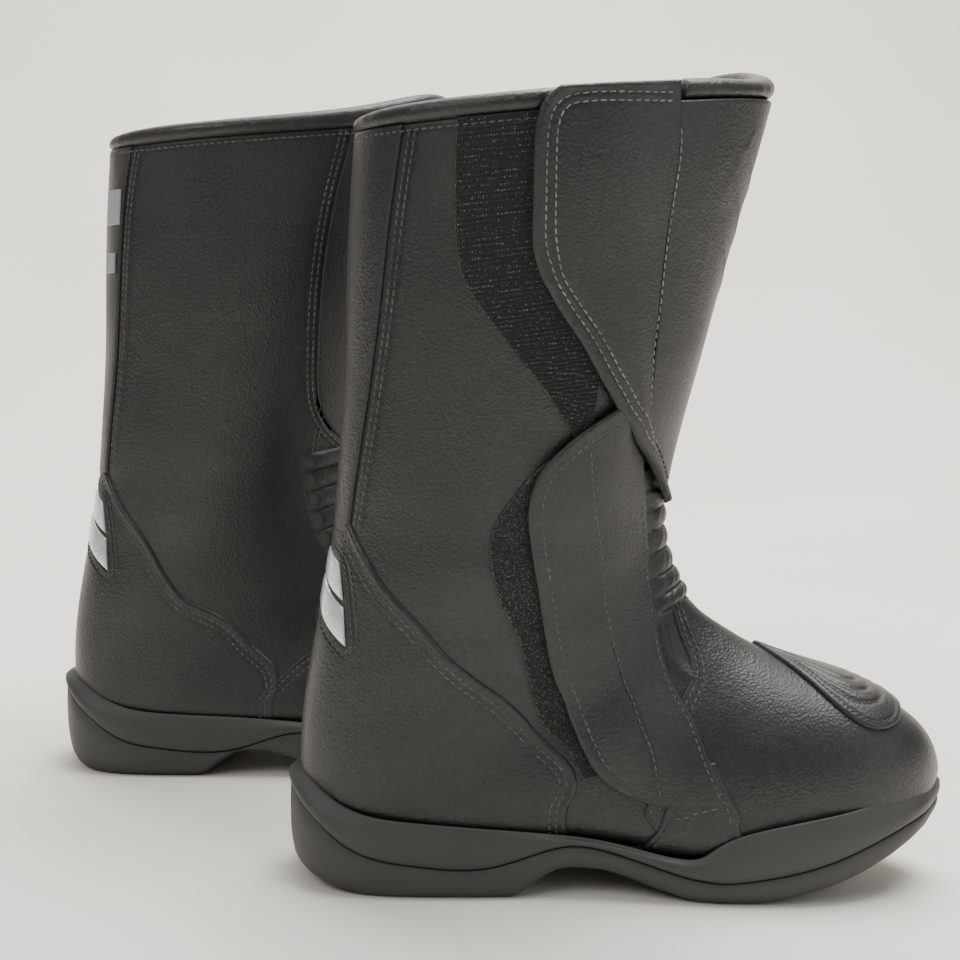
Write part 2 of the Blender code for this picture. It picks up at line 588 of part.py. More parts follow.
def box_along(origin, ahead, aside, up, size, bevel):
    """A block on a frame of three directions, with its upper edges cut back."""
    length, width, height = size
    points = []
    for level, inset in ((0, 0), (height - bevel, 0), (height, bevel)):
        for x, y in ((-1, -1), (1, -1), (1, 1), (-1, 1)):
            points.append(origin + ahead * x * (length / 2 - inset) + aside * y * (width / 2 - inset)
                          + up * level)
    faces = [(0, 3, 2, 1), (8, 9, 10, 11)]
    for k in (0, 4):
        faces += [(k + i, k + (i + 1) % 4, k + 4 + (i + 1) % 4, k + 4 + i) for i in range(4)]
    return np.array(points), faces


def zip_path():
    """Top and bottom of the slider's straight run, and its sideways and outward directions."""
    line = rail(ZIP_LINE, 61)
    points = lifted(line[:, 0], line[:, 1], SLIDER_IN)
    run = np.linalg.norm(points - points[0], axis=1)
    start = int(np.argmin(np.abs(run - ZIP_START)))
    stop = int(np.argmin(np.abs(run - ZIP_START - zip_travel)))
    ahead = points[stop] - points[start]
    ahead /= np.linalg.norm(ahead)
    _, _, _, normal = tube_frame(line[:, 0], line[:, 1])
    up = normal[start] - ahead * (normal[start] @ ahead)
    up /= np.linalg.norm(up)
    straight = points[start] + np.outer((points[start:stop + 1] - points[start]) @ ahead, ahead)
    bulge = max(0.0, float(((points[start:stop + 1] - straight) @ up).max()))
    return points[start] + up * bulge, ahead, np.cross(up, ahead), up


def build_zip():
    inner = zip_edge(-zip_slot / 2 + 2 * seam_gap, 0.0, 1.0, 15)
    outer = zip_edge(zip_slot / 2 - 2 * seam_gap, 0.0, 1.0, 15)
    add_panel("zip", [inner, outer], [2], [PANEL_IN] * 2, [PANEL_IN + 1.1 * MM] * 2, "zip_tape")
    origin, ahead, aside, up = zip_path()
    points, faces = box_along(origin, ahead, aside, up, (slider_length, slider_width, slider_body), 0.6 * MM)
    add_part("zip_slider", points, faces, "metal", pivot=origin)
    pin = origin + up * (slider_body + seam_gap) + ahead * 2 * MM
    middle = pin + ahead * (puller_length / 2 - puller_width / 2)
    points, faces = box_along(middle, ahead, aside, up, (puller_length, puller_width, puller_body), 0.25 * MM)
    add_part("zip_puller", points, faces, "metal", pivot=pin)


def build_collar():
    """A padded roll on the rim, open where the closing flap meets it, higher outside in front."""
    start = on_tube([UPPER_FLAP_REAR[0]], -1)[0, 1] - 3 * MM / (50 * MM)
    stop = on_tube([SHIN_INNER_SEAM[0]], -1)[0, 1] + 2 * MM / (50 * MM)
    turn = np.linspace(start, stop - 2 * math.pi, 29)
    point, along, _, normal = tube_frame(np.zeros_like(turn), turn)
    up = -along / np.linalg.norm(along, axis=1, keepdims=True)
    place = (turn + math.pi) % (2 * math.pi) - math.pi
    height = collar_padding * (1 + 0.75 * np.exp(-((place - 0.55) / 0.55) ** 2)
                               - 0.35 * np.exp(-((place + 0.5) / 0.4) ** 2)
                               - 0.3 * np.exp(-((np.abs(place) - math.pi) / 0.5) ** 2))
    low, high = LINING_IN - 0.5 * MM, 1.6 * MM
    rings = []
    for a in np.radians(np.arange(0, 360, 45) + 22.5):
        lift = (low + high) / 2 + (high - low) / 2 * np.cos(a) / math.cos(math.radians(22.5))
        rise = seam_gap + height * (0.5 + 0.5 * np.sin(a) / math.sin(math.radians(67.5)))
        rings.append(point + normal * lift + up * rise[:, None])
    points = np.array(rings).transpose(1, 0, 2)
    rows = len(turn)
    faces = [(i * 8 + j, i * 8 + (j + 1) % 8, (i + 1) * 8 + (j + 1) % 8, (i + 1) * 8 + j)
             for i in range(rows - 1) for j in range(8)]
    faces += [tuple(range(8)), tuple(range(rows * 8 - 1, rows * 8 - 9, -1))]
    add_part("collar", points.reshape(-1, 3), faces, "padded_leather")


def build_inside():
    s = np.array([0, 1.3, 2.6, 3.7, 4.5, 5.2, 5.9, 6.6, 7.3, 8, 8.6, 9.2, 9.8, 10.6, 11.4, 12.4, 13.5, 14.6,
                  15.7, 16.6])
    turn = np.radians(np.arange(0, 360, 30))
    grid_s, grid_t = np.meshgrid(s, turn, indexing="ij")
    outer = lifted(grid_s, grid_t, LINING_OUT).reshape(-1, 3)
    inner = lifted(grid_s, grid_t, LINING_IN).reshape(-1, 3)
    rows, columns = grid_s.shape
    faces = shell_faces(rows, columns, closed=True)
    skin = rows * columns
    end = (rows - 1) * columns
    faces = [f for f in faces if not (min(f) >= end and max(f) < skin + skin and
                                      sum(end <= v < skin for v in f) == 2 and sum(v >= skin + end for v in f) == 2)]
    outer_tip = outer[end:].mean(axis=0)
    inner_tip = inner[end:].mean(axis=0) - np.array([lining_cloth, 0, 0])
    points = np.vstack([outer, inner, [outer_tip], [inner_tip]])
    for j in range(columns):
        k = (j + 1) % columns
        faces.append((end + j, end + k, 2 * skin))
        faces.append((skin + end + k, skin + end + j, 2 * skin + 1))
    add_part("lining", points, faces, "lining_cloth")

    s = np.array([9.3, 9.9, 10.6, 11.4, 12.4, 13.4, 14.4, 15.5, 16.4, 17.1])
    half = math.pi - foot_edge(s) - math.radians(2.5)
    left, right = np.stack([s, math.pi + half], -1), np.stack([s, math.pi - half], -1)
    add_panel("insole_board", [left, right], [5], [-board] * 2, [0] * 2, "board")
    s = np.array([9.8, 10.6, 11.4, 12.4, 13.5, 14.6, 15.7, 16.1])
    reach = np.radians([24, 36, 42, 44, 44, 44, 38, 26])
    high = LINING_IN - lining_gap
    rails = [np.stack([s, math.pi + reach * f], -1) for f in (1, 0.68, 0, -0.68, -1)]
    add_panel("footbed", rails, [1, 1, 1, 1], [high - footbed_foam] * 5, [high] * 5, "foam")
    s = np.array([10.6, 11.4, 12.4])
    left, right = np.stack([s, np.full(3, math.pi + 0.16)], -1), np.stack([s, np.full(3, math.pi - 0.16)], -1)
    low = PANEL_IN - seam_gap - 0.8 * MM
    add_panel("steel_shank", [left, right], [2], [low] * 2, [PANEL_IN - seam_gap] * 2, "metal")


def sole_loops(count):
    """Matching points down the inner and outer side of the sole outline, heel to toe."""
    size = np.array([sole_length, shaft_width, rim_height, rim_height])
    inner, outer = np.array(join_rows(SOLE_INNER)), np.array(join_rows(SOLE_OUTER))
    loop = np.vstack([inner, outer[::-1]])
    ring = np.vstack([loop, loop, loop]) * size
    total = len(loop)
    toe = len(inner) - 1
    down = natural_spline(ring, total + np.linspace(0, toe, count))
    back = natural_spline(ring, total + np.linspace(total, toe, count))
    eps = 0.05
    results = []
    for start, stop, values, sign in ((0, toe, down, 1), (total, toe, back, -1)):
        at = total + np.linspace(start, stop, count)
        ahead = natural_spline(ring, at + eps) - natural_spline(ring, at - eps)
        outward = np.stack([-ahead[:, 1], ahead[:, 0]], -1) * -1
        outward /= np.linalg.norm(outward, axis=1, keepdims=True)
        results.append((values, outward))
    (down, n_in), (back, n_out) = results
    flip = np.sign((down[count // 2, 1]) * n_in[count // 2, 1])
    return down, n_in * flip, back, n_out * flip


def underside(x, y):
    """Height of the sole's underside; the heel's front edge slants across the boot."""
    lead = 0.3 * (y + 0.36 * shaft_width) * np.clip((0.75 * sole_length - x) / (0.2 * sole_length), 0, 1)
    line = np.array(SOLE_UNDERSIDE) * np.array([sole_length, rim_height])
    return np.interp(x + lead, line[:, 0], line[:, 1])


def sole_solid(name, levels, floor):
    """A lofted sole. levels(side, z0, groove, top) gives wall points as inset and height."""
    count = 20
    down, n_in, back, n_out = sole_loops(count)
    columns = []
    for values, outward in ((down, n_in), (back, n_out)):
        walls = []
        for inset, height in levels(values, underside(values[:, 0], values[:, 1])):
            xy = values[:, :2] - outward * np.reshape(inset, (-1, 1))
            walls.append(np.column_stack([xy, height]))
        columns.append(np.array(walls))
    centre = (down[:, :2] + back[:, :2]) / 2
    inside = bottom_inset / (0.5 * sole_length)
    centre[:, 0] += (0.5 * sole_length - centre[:, 0]) * inside
    low, high = floor(centre)
    bottom = np.column_stack([centre, low])[None]
    top = np.column_stack([centre, high])[None]
    ring = np.concatenate([bottom, columns[0], top, columns[1][::-1]])
    points = ring.transpose(1, 0, 2)
    n = points.shape[1]
    faces = []
    for i in range(count - 1):
        for j in range(n):
            a, b = i * n + j, i * n + (j + 1) % n
            corners = (a, b, b + n, a + n)
            k = 1 if name == "midsole" else 0
            faces.append((corners[k], corners[k + 1], corners[k + 2]))
            faces.append((corners[k + 2], corners[(k + 3) % 4], corners[k]))
    return points.reshape(-1, 3), faces


def build_sole():
    def lip_at(values):
        ends = np.minimum(values[:, 0], sole_length - values[:, 0]) / sole_length
        return outsole_lip * np.interp(ends, (0, 0.1), (0.6, 1))

    def outsole_wall(values, z0):
        groove, lip = values[:, 2], lip_at(values)
        tall = groove - z0
        return ((bottom_inset, z0), (0.35 * bottom_inset, z0 + 0.1 * tall + MM), (0.4 * MM, z0 + 0.5 * tall),
                (1.0 * MM, groove), (lip, groove), (lip + 5 * MM, z0 + outsole_floor))

    def outsole_floor_at(centre):
        z0 = underside(centre[:, 0], centre[:, 1])
        return z0, z0 + outsole_floor

    def midsole_wall(values, z0):
        groove, top = values[:, 2], values[:, 3]
        lip = lip_at(values) + seam_gap
        return ((lip + 5 * MM, z0 + outsole_floor + seam_gap), (lip, groove + seam_gap),
                (0.7 * MM, groove + seam_gap), (0, groove + seam_gap + 0.35 * (top - groove)),
                (top_inset, top), (top_inset + 2.5 * MM, top - 0.3 * MM))

    def midsole_floor_at(centre):
        z0 = underside(centre[:, 0], centre[:, 1])
        x = centre[:, 0] / sole_length
        return z0 + outsole_floor + seam_gap, np.interp(x, (0, 0.4, 0.6, 1), (0.14, 0.1, 0.075, 0.15)) * rim_height

    points, faces = sole_solid("outsole", outsole_wall, outsole_floor_at)
    add_part("outsole", points, faces, "rubber")
    points, faces = sole_solid("midsole", midsole_wall, midsole_floor_at)
    points, faces = cut_by_upper(points, faces)
    add_part("midsole", points, faces, "rubber")


def cut_by_upper(points, faces):
    """The block left when the space for the upper is taken out of it."""
    s = np.array([6.5, 7.6, 8.2, 8.7, 9.2, 9.9, 10.8, 11.4, 12.2, 13.1, 14, 15, 16, 16.8, 17.4])
    turn = np.radians([0, 40, 70, 85, 95, 105, 118, 130, 142, 152, 165, 180])
    turn = np.concatenate([turn, 2 * math.pi - turn[-2:0:-1]])
    grid_s, grid_t = np.meshgrid(s, turn, indexing="ij")
    lift = np.where(grid_s < COUNTER_FOOT_INNER + 0.1, COUNTER_OUT + 1.1 * MM, 0) + cup_gap
    rings = lifted(grid_s, grid_t, lift)
    rows, columns = grid_s.shape
    tip = rings[-1].mean(axis=0) + np.array([2.0 * MM + cup_gap, 0, 0])
    cutter_points = np.vstack([rings.reshape(-1, 3), [tip], [rings[0].mean(axis=0)]])
    cutter_faces = [(i * columns + j, i * columns + (j + 1) % columns, (i + 1) * columns + (j + 1) % columns,
                     (i + 1) * columns + j) for i in range(rows - 1) for j in range(columns)]
    end = (rows - 1) * columns
    cutter_faces += [(end + j, end + (j + 1) % columns, rows * columns) for j in range(columns)]
    cutter_faces += [((j + 1) % columns, j, rows * columns + 1) for j in range(columns)]
    block = mesh_object("sole_block", points, faces)
    cutter = mesh_object("upper_cutter", cutter_points, cutter_faces)
    cutter.hide_render = True
    cutter.display_type = "WIRE"
    boolean = block.modifiers.new("cut", "BOOLEAN")
    boolean.operation = "DIFFERENCE"
    # The exact solver returns nothing for these two bodies
    boolean.solver = "MANIFOLD"
    boolean.object = cutter
    evaluated = block.evaluated_get(bpy.context.evaluated_depsgraph_get())
    mesh = bpy.data.meshes.new_from_object(evaluated)
    bm = bmesh.new()
    bm.from_mesh(mesh)
    bmesh.ops.triangulate(bm, faces=bm.faces)
    bm.verts.index_update()
    result_points = np.array([v.co[:] for v in bm.verts])
    result_faces = [tuple(v.index for v in f.verts) for f in bm.faces]
    bm.free()
    bpy.data.meshes.remove(mesh)
    bpy.data.objects.remove(block)
    bpy.data.objects.remove(cutter)
    return result_points, result_faces


def mesh_object(name, points, faces, merge=True):
    """A closed mesh object with its faces turned outward."""
    mesh = bpy.data.meshes.new(name)
    mesh.from_pydata([tuple(p) for p in points], [], faces)
    bm = bmesh.new()
    bm.from_mesh(mesh)
    if merge:
        bmesh.ops.remove_doubles(bm, verts=bm.verts, dist=0.00001)
    bmesh.ops.recalc_face_normals(bm, faces=bm.faces)
    if bm.calc_volume(signed=True) < 0:
        bmesh.ops.reverse_faces(bm, faces=bm.faces)
    bm.to_mesh(mesh)
    bm.free()
    item = bpy.data.objects.new(name, mesh)
    bpy.context.scene.collection.objects.link(item)
    bpy.context.view_layer.update()
    return item


# Colour, roughness and metallic of each material
MATERIALS = {
    "smooth_leather": ((0.03, 0.03, 0.03), 0.42, 0.0),
    "flap_leather": ((0.035, 0.034, 0.032), 0.45, 0.0),
    "padded_leather": ((0.025, 0.025, 0.026), 0.5, 0.0),
    "loop_cloth": ((0.02, 0.02, 0.02), 0.95, 0.0),
    "hook_cloth": ((0.015, 0.015, 0.015), 0.9, 0.0),
    "lining_cloth": ((0.05, 0.05, 0.055), 0.9, 0.0),
    "zip_tape": ((0.02, 0.02, 0.022), 0.7, 0.0),
    "rubber": ((0.05, 0.05, 0.052), 0.65, 0.0),
    "board": ((0.28, 0.2, 0.12), 0.85, 0.0),
    "foam": ((0.09, 0.09, 0.1), 0.9, 0.0),
    "metal": ((0.35, 0.35, 0.36), 0.35, 1.0),
    "reflector": ((0.6, 0.61, 0.62), 0.3, 0.4),
    "trim": ((0.12, 0.12, 0.12), 0.4, 0.2),
}


def make_material(name, kind):
    colour, roughness, metallic = MATERIALS[kind]
    material = bpy.data.materials.new(name)
    material.use_nodes = True
    shader = material.node_tree.nodes["Principled BSDF"]
    shader.inputs["Base Color"].default_value = (*colour, 1.0)
    shader.inputs["Roughness"].default_value = roughness
    shader.inputs["Metallic"].default_value = metallic
    material.diffuse_color = (*colour, 1.0)
    return material


def placed(points, second):
    """Points of the first boot, or mirrored, turned and shifted for the second."""
    points = np.array(points, float)
    if not second:
        return points
    c, s = math.cos(second_boot_turn), math.sin(second_boot_turn)
    x, y = points[..., 0].copy(), -points[..., 1]
    points[..., 0] = second_boot_back + x * c - y * s
    points[..., 1] = second_boot_side + x * s + y * c
    return points


def make_boots():
    everything = np.vstack([placed(part["points"], second) for part in PARTS for second in (False, True)])
    low, high = everything.min(axis=0), everything.max(axis=0)
    middle = np.array([(low[0] + high[0]) / 2, (low[1] + high[1]) / 2, low[2]])
    for second, prefix in ((False, "left_"), (True, "right_")):
        for part in PARTS:
            pivot = placed(part["pivot"], second) - middle if part["pivot"].any() else np.zeros(3)
            points = placed(part["points"], second) - middle - pivot
            item = mesh_object(prefix + part["name"], points, part["faces"], part["name"] != "midsole")
            item.location = Vector(pivot)
            mesh = item.data
            mesh.materials.append(make_material(prefix + part["name"], part["material"]))
            mesh.polygons.foreach_set("use_smooth", [True] * len(mesh.polygons))
            mesh.set_sharp_from_angle(angle=math.radians(part["smooth"]))


def main():
    for item in list(bpy.data.objects):
        bpy.data.objects.remove(item)
    build_leg_panels()
    build_flex_panel()
    build_foot_panels()
    build_overlays()
    build_straps()
    build_flaps()
    build_zip()
    build_collar()
    build_inside()
    build_sole()
    make_boots()


main()
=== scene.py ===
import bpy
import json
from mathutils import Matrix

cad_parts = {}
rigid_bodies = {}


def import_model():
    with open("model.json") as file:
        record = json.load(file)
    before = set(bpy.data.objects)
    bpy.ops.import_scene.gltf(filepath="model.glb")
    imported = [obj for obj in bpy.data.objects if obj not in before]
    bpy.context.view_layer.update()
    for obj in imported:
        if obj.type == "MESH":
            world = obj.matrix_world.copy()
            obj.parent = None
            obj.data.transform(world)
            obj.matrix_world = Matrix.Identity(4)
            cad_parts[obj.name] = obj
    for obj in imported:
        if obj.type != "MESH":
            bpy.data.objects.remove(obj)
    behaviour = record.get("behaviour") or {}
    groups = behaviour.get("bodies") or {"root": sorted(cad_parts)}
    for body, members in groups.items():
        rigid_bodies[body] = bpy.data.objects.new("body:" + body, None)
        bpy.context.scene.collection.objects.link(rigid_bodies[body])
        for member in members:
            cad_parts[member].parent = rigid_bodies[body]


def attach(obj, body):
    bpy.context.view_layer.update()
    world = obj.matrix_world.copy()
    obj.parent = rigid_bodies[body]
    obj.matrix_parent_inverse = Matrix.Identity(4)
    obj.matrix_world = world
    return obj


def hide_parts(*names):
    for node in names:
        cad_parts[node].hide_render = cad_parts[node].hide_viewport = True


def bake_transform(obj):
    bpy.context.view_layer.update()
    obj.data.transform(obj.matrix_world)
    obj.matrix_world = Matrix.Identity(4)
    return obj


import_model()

"""A pair of mid-calf leather riding boots on a pale floor.

Each boot is a bent tube of cross-sections that run from the rim, round the ankle, to the toe.
Every panel, strip and flap is a fine patch of that tube, lifted off it by its own distance.
Lengths in the tables are millimetres in the first boot's own frame: x from the heel to the
toe, y across, z up. The second boot is the first one mirrored, turned and moved.
"""

import json
import math

import bpy
import numpy as np
from bpy.props import FloatProperty, FloatVectorProperty, IntProperty, PointerProperty
from mathutils import Matrix

bl_info = {
    "name": "Riding Boots",
    "version": (1, 0, 0),
    "blender": (4, 5, 0),
    "location": "View3D > Sidebar > Boots",
    "description": "Builds a pair of leather riding boots piece by piece",
    "category": "Add Mesh",
}

MM = 0.001
PI = math.pi

# Centreline of the boot's tube at its front and at its back, one point for each section
FRONT_LINE = ((207, 351), (200, 323), (190, 282), (180, 240), (172, 205), (167, 178), (168, 157),
              (174, 139), (181, 128), (190, 119.5), (201, 112.5), (213, 106), (227, 99.5), (242, 95),
              (258, 90), (273, 83.5), (286, 75), (295, 64.5), (300, 51))
BACK_LINE = ((29, 333), (27, 304), (26, 262), (25, 221), (23, 183), (20, 150), (14, 116), (8, 80),
             (7, 50), (19, 24), (62, 20), (115, 22), (165, 17), (208, 14), (243, 17), (268, 22),
             (285, 29), (294, 37), (299.5, 47))
INNER_WIDTHS = (56, 54, 51, 47.5, 44, 41, 38.5, 37, 36.5, 36.5, 37.5, 39.5, 43, 45, 42, 35, 24, 13, 2)
OUTER_WIDTHS = (58, 56, 53, 49.5, 46, 43, 40.5, 38, 37.5, 38.5, 41.5, 45.5, 48.5, 48, 43, 35, 24, 13, 2)
MIDDLE_LINE = (0, 0, 0, 0, 0, 0, 0, 0, 0, 0, 0, 0, -1, -2, -4, -6, -8, -8, -8)
WIDEST = (0.5, 0.5, 0.5, 0.5, 0.52, 0.55, 0.58, 0.62, 0.66, 0.7, 0.72, 0.72, 0.72, 0.7, 0.66, 0.62,
          0.57, 0.53, 0.5)
FRONT_SQUARE = (2.2, 2.2, 2.15, 2.1, 2.05, 2.0, 2.0, 2.0, 2.0, 2.0, 2.0, 2.1, 2.2, 2.3, 2.4, 2.4,
                2.3, 2.2, 2.0)
BACK_SQUARE = (2.2, 2.2, 2.2, 2.2, 2.2, 2.2, 2.2, 2.3, 2.4, 2.8, 3.2, 3.6, 3.8, 3.8, 3.6, 3.2, 2.6,
               2.2, 2.0)

# Seams and edges, seen from the side, top to bottom
INNER_BACK_SEAM = ((49, 341), (46, 317), (41, 271), (35, 219), (29, 174), (27, 160))
OUTER_BACK_SEAM = ((42, 338), (37, 307), (33, 244), (28, 185), (26, 162))
INNER_COUNTER_SEAM = ((25, 169), (32, 156), (41, 142), (71, 109), (106, 80), (122, 64), (128, 53),
                      (124, 36))
OUTER_COUNTER_SEAM = ((25, 163), (34, 146), (49, 125), (91, 84), (110, 65), (117, 54), (114, 37))
LOOP_STRIP_REAR = ((71, 344), (71, 284), (75, 270), (93, 245), (117, 214), (124, 204))
LOOP_STRIP_FRONT = ((121, 347), (121, 283), (126, 258), (132, 238), (131, 222), (130, 204))
ANKLE_STRIP_REAR = ((113, 197), (106, 191), (98, 181), (89, 166), (88, 152), (92, 135), (103, 111),
                    (121, 70), (131, 54))
ANKLE_STRIP_FRONT = ((137, 198), (138, 180), (139, 160), (143, 137), (149, 108), (153, 84), (155, 60))
UPPER_FLAP_REAR = ((160, 354.5), (140, 354), (122, 353), (111, 350.5), (104.5, 344.5), (101.5, 335),
                   (101, 324), (101, 304), (101.5, 286), (105, 274), (113, 260), (123.5, 245), (131, 232),
                   (136.4, 223), (140, 216.5), (144.5, 210.5), (148.5, 203), (153.3, 196), (159, 185),
                   (163.8, 174))
LOWER_FLAP_REAR = ((143, 222), (134, 216), (124, 209), (115, 201), (108, 193), (104, 184), (102.5, 174),
                   (104, 160), (108, 138), (111.8, 117), (115.9, 100), (121.6, 87), (126, 76),
                   (130.5, 66.5), (135, 58.5), (142.5, 51.5), (152.5, 46.5), (163, 43.5))
LOWER_FLAP_FRONT = ((148, 220), (152, 205), (154.5, 190), (156.4, 172.3), (158.3, 157.9), (159.7, 145.4),
                    (161.6, 133.9), (163.7, 121.7), (166.5, 109.7), (169, 100.6), (173.7, 89.8),
                    (179.5, 80.5), (183.2, 71.5), (186.1, 63.5), (189.6, 55.6), (194.5, 45))
LOWER_FLAP_LINE = ((127.5, 203), (128.8, 190), (130.8, 174), (134, 157), (137, 133.6), (141.4, 115.3),
                   (146.5, 99.9), (151.9, 87.5), (156.2, 76.2), (160.8, 66), (162.8, 56.3), (164.6, 48))
HINGE_LINE = ((157.5, 176), (165, 138.5), (172, 101))
SHIN_OUTER_SEAM = ((153, 349), (150, 334), (144, 309), (139.5, 283), (137, 257), (136, 231),
                   (137, 205), (143, 190), (152, 181), (163, 178))
FOLD_LINE = ((160, 349), (161, 326), (159, 306), (157, 285), (156, 265), (154, 244), (153.5, 223),
             (153.5, 209))
FLAP_FRONT = ((160, 354.5), (161, 340), (161, 326), (159, 306), (157, 285), (156, 265), (154.5, 244),
              (154.5, 223), (156.5, 208), (160.5, 194), (165.5, 176))
SHIN_INNER_EDGE = ((160, 349), (158, 306), (155, 244), (153.5, 209), (157, 196), (161, 184))
FLEX_OUTER_BORDER = ((137, 205), (135, 193), (133, 184), (132, 168), (135, 147), (141, 129), (148, 117))
ZIP_LINE = ((130, 346), (130, 312), (131, 281), (136, 256), (142.5, 231), (146, 208), (148, 184),
            (151, 158), (154, 135), (158, 112), (161, 96))
QUARTER_REAR = ((163, 58), (166.5, 45), (166, 39), (163.5, 32), (159.5, 26.5), (158, 22))
# Sections and turns in degrees of the vamp's edge over the instep
TONGUE_EDGE = ((11.9, -110), (11.3, -86), (10.75, -64), (10.3, -47), (10.05, -39), (9.7, -33.5),
               (9.3, -29.7), (8.72, -26), (8.1, -22.6), (7.6, -20), (7.3, -16), (7.35, -9), (7.55, 0),
               (7.7, 12), (7.75, 26))
VAMP_OUTER_SEAM = ((148, 112), (137, 72), (120, 57))
# How far round the section the upper is turned under the foot, in degrees, along the sections
FOOT_EDGE = ((8.95, 172), (9.15, 158), (9.6, 146), (10.5, 139), (12.0, 136), (15.0, 136),
             (16.6, 146), (17.3, 166))
# Sole outline in plan with the heights of its groove and of its top edge
SOLE_INNER = ((0, 0, 44, 51), (4, -19, 40, 49), (14, -32, 32, 44), (32, -39.5, 20.5, 37.8),
              (58, -42.5, 15.5, 34.6), (90, -43, 15, 32), (120, -43, 24, 29.5), (145, -45, 22, 26.2),
              (172, -49, 13.7, 20.6), (185, -51, 11.2, 23), (198, -52.5, 11, 31), (228, -53.5, 16.5, 38.6),
              (256, -50, 26, 43.5), (281, -40, 35.5, 47.5), (293.5, -26, 38, 49), (302, -7, 39, 51))
SOLE_OUTER = ((4, 19, 40, 49), (14, 32, 32, 44), (32, 40.5, 20.5, 37.8), (58, 44.5, 15.5, 34.6),
              (90, 47, 15, 33), (120, 50, 24, 31), (145, 52.5, 22, 28), (172, 54, 13.7, 23),
              (185, 54.3, 11.2, 25), (198, 54, 11, 31), (228, 51, 16.5, 38.6), (256, 43.5, 26, 43.5),
              (281, 27, 35.5, 47.5), (295, 9.5, 38, 49.5))
SOLE_UNDERSIDE = ((0, 14), (4, 10), (11, 6), (22, 2.2), (36, 0.3), (46, 0), (102, 0), (106, 3), (112, 8),
                  (119, 12.5), (128, 13.5), (140, 12.5), (152, 9), (163, 4.5), (174, 1), (182, 0), (205, 0),
                  (217, 1.5), (228, 4), (240, 7), (256, 12.5), (272, 19.5), (286, 26.5), (296, 30), (305, 32))
# The toe pad's middle (degrees) and its half width in degrees along the sections
TOE_PAD_MIDDLE = 5
TOE_PAD_HALF = ((11.05, 0.5), (11.3, 6), (11.6, 11), (12.06, 17.5), (12.64, 27), (13.16, 37), (13.65, 46),
                (14.15, 52), (14.55, 51), (14.95, 44), (15.2, 31), (15.36, 14), (15.4, 0.5))
ABOVE_RIM = -0.6
COUNTER_TOP = 4.42
THREAD_SUNK = 0.1
FLEX_TOP = 4.85
SHIN_END = 4.91
FLEX_END = 7.8
LINING_IN = -9.0
TOE_END = 17.93

# Bell-shaped relief of a seam, as (width, height) in mm: the thread's groove and a turned edge
GROOVE = (0.9, -0.45)
FINE_GROOVE = (0.9, -0.35)
TURNED = (1.5, 0.5)

# The second boot's place, and the middle of the pair on the floor
SECOND_BACK, SECOND_SIDE, SECOND_TURN = -132.2 * MM, 171.0 * MM, math.radians(4.54)
MIDDLE = np.array([0.08594249, 0.09056444, 0.0])

SIDES = ("left", "right")

# The camera's place in metres in the first boot's frame, its turns in degrees and its lens in mm
CAMERA_PLACE = (0.0376, -0.7355, 0.2812)
CAMERA_TURN = (3.71, 7.71, 1.11)
CAMERA_LENS = 61.9

# Each light's name, place, target, width, height, power in watts and colour
LIGHTS = (("key", (-1.6, -1.7, 2.2), (0.0, 0.0, 0.15), 2.0, 1.4, 34, (1.0, 0.985, 0.95)),
          ("fill", (1.9, -1.6, 1.1), (0.0, 0.0, 0.15), 1.6, 1.6, 10, (0.93, 0.96, 1.0)),
          ("top", (0.5, 0.3, 2.5), (0.05, 0.0, 0.0), 2.2, 1.4, 112, (1.0, 0.99, 0.97)),
          ("back", (-0.2, 0.9, 2.3), (0.0, 1.7, 0.6), 2.6, 1.0, 38, (1.0, 0.98, 0.94)))
ROOM_LIGHT = 0.24


# ---------------------------------------------------------------- curves and the boot's tube

def natural_spline(points, at):
    """Cubic curve through evenly numbered points, smooth in slope and in bend."""
    points = np.asarray(points, float)
    last = len(points) - 1
    matrix = np.eye(last + 1)
    rhs = np.zeros_like(points)
    inner = np.arange(1, last)
    matrix[inner, inner - 1] = 1
    matrix[inner, inner] = 4
    matrix[inner, inner + 1] = 1
    rhs[inner] = 6 * (points[inner - 1] - 2 * points[inner] + points[inner + 1])
    bend = np.linalg.solve(matrix, rhs)
    place = np.clip(np.asarray(at, float), 0, last)
    low = np.minimum(place.astype(int), last - 1)
    f = (place - low)[..., None]
    flat = points[low] * (1 - f) + points[low + 1] * f
    return flat + (((1 - f) ** 3 - (1 - f)) * bend[low] + (f ** 3 - f) * bend[low + 1]) / 6


SECTIONS = np.hstack([
    np.array(FRONT_LINE, float) * MM, np.array(BACK_LINE, float) * MM,
    np.array([INNER_WIDTHS, OUTER_WIDTHS, MIDDLE_LINE], float).T * MM,
    np.array([WIDEST, FRONT_SQUARE, BACK_SQUARE]).T])
LAST = len(SECTIONS) - 1
SAMPLES = np.linspace(ABOVE_RIM, LAST, 1489)
RIM_SLOPE = (natural_spline(SECTIONS, 0.02) - SECTIONS[0]) / 0.02
SAMPLED = natural_spline(SECTIONS, np.maximum(SAMPLES, 0)) + np.minimum(SAMPLES, 0)[:, None] * RIM_SLOPE


def tube(s, turn):
    """Point of the boot's tube at section s, turned round it from the front (radians)."""
    s = np.asarray(s, float)
    turn = (np.asarray(turn, float) + PI) % (2 * PI) - PI
    row = np.stack([np.interp(s, SAMPLES, column) for column in SAMPLED.T], -1)
    fx, fz, bx, bz, inner, outer, middle, widest, front_square, back_square = np.moveaxis(row, -1, 0)
    across = np.cos(turn)
    power = np.where(across > 0, front_square, back_square)
    along = np.abs(across) ** (2 / power)
    out = np.abs(np.sin(turn)) ** (2 / power)
    t = np.where(across > 0, widest * (1 - along), widest + along * (1 - widest))
    half = np.where(turn > 0, outer, inner) * np.sign(turn)
    return np.stack([fx + t * (bx - fx), middle + half * out, fz + t * (bz - fz)], -1)


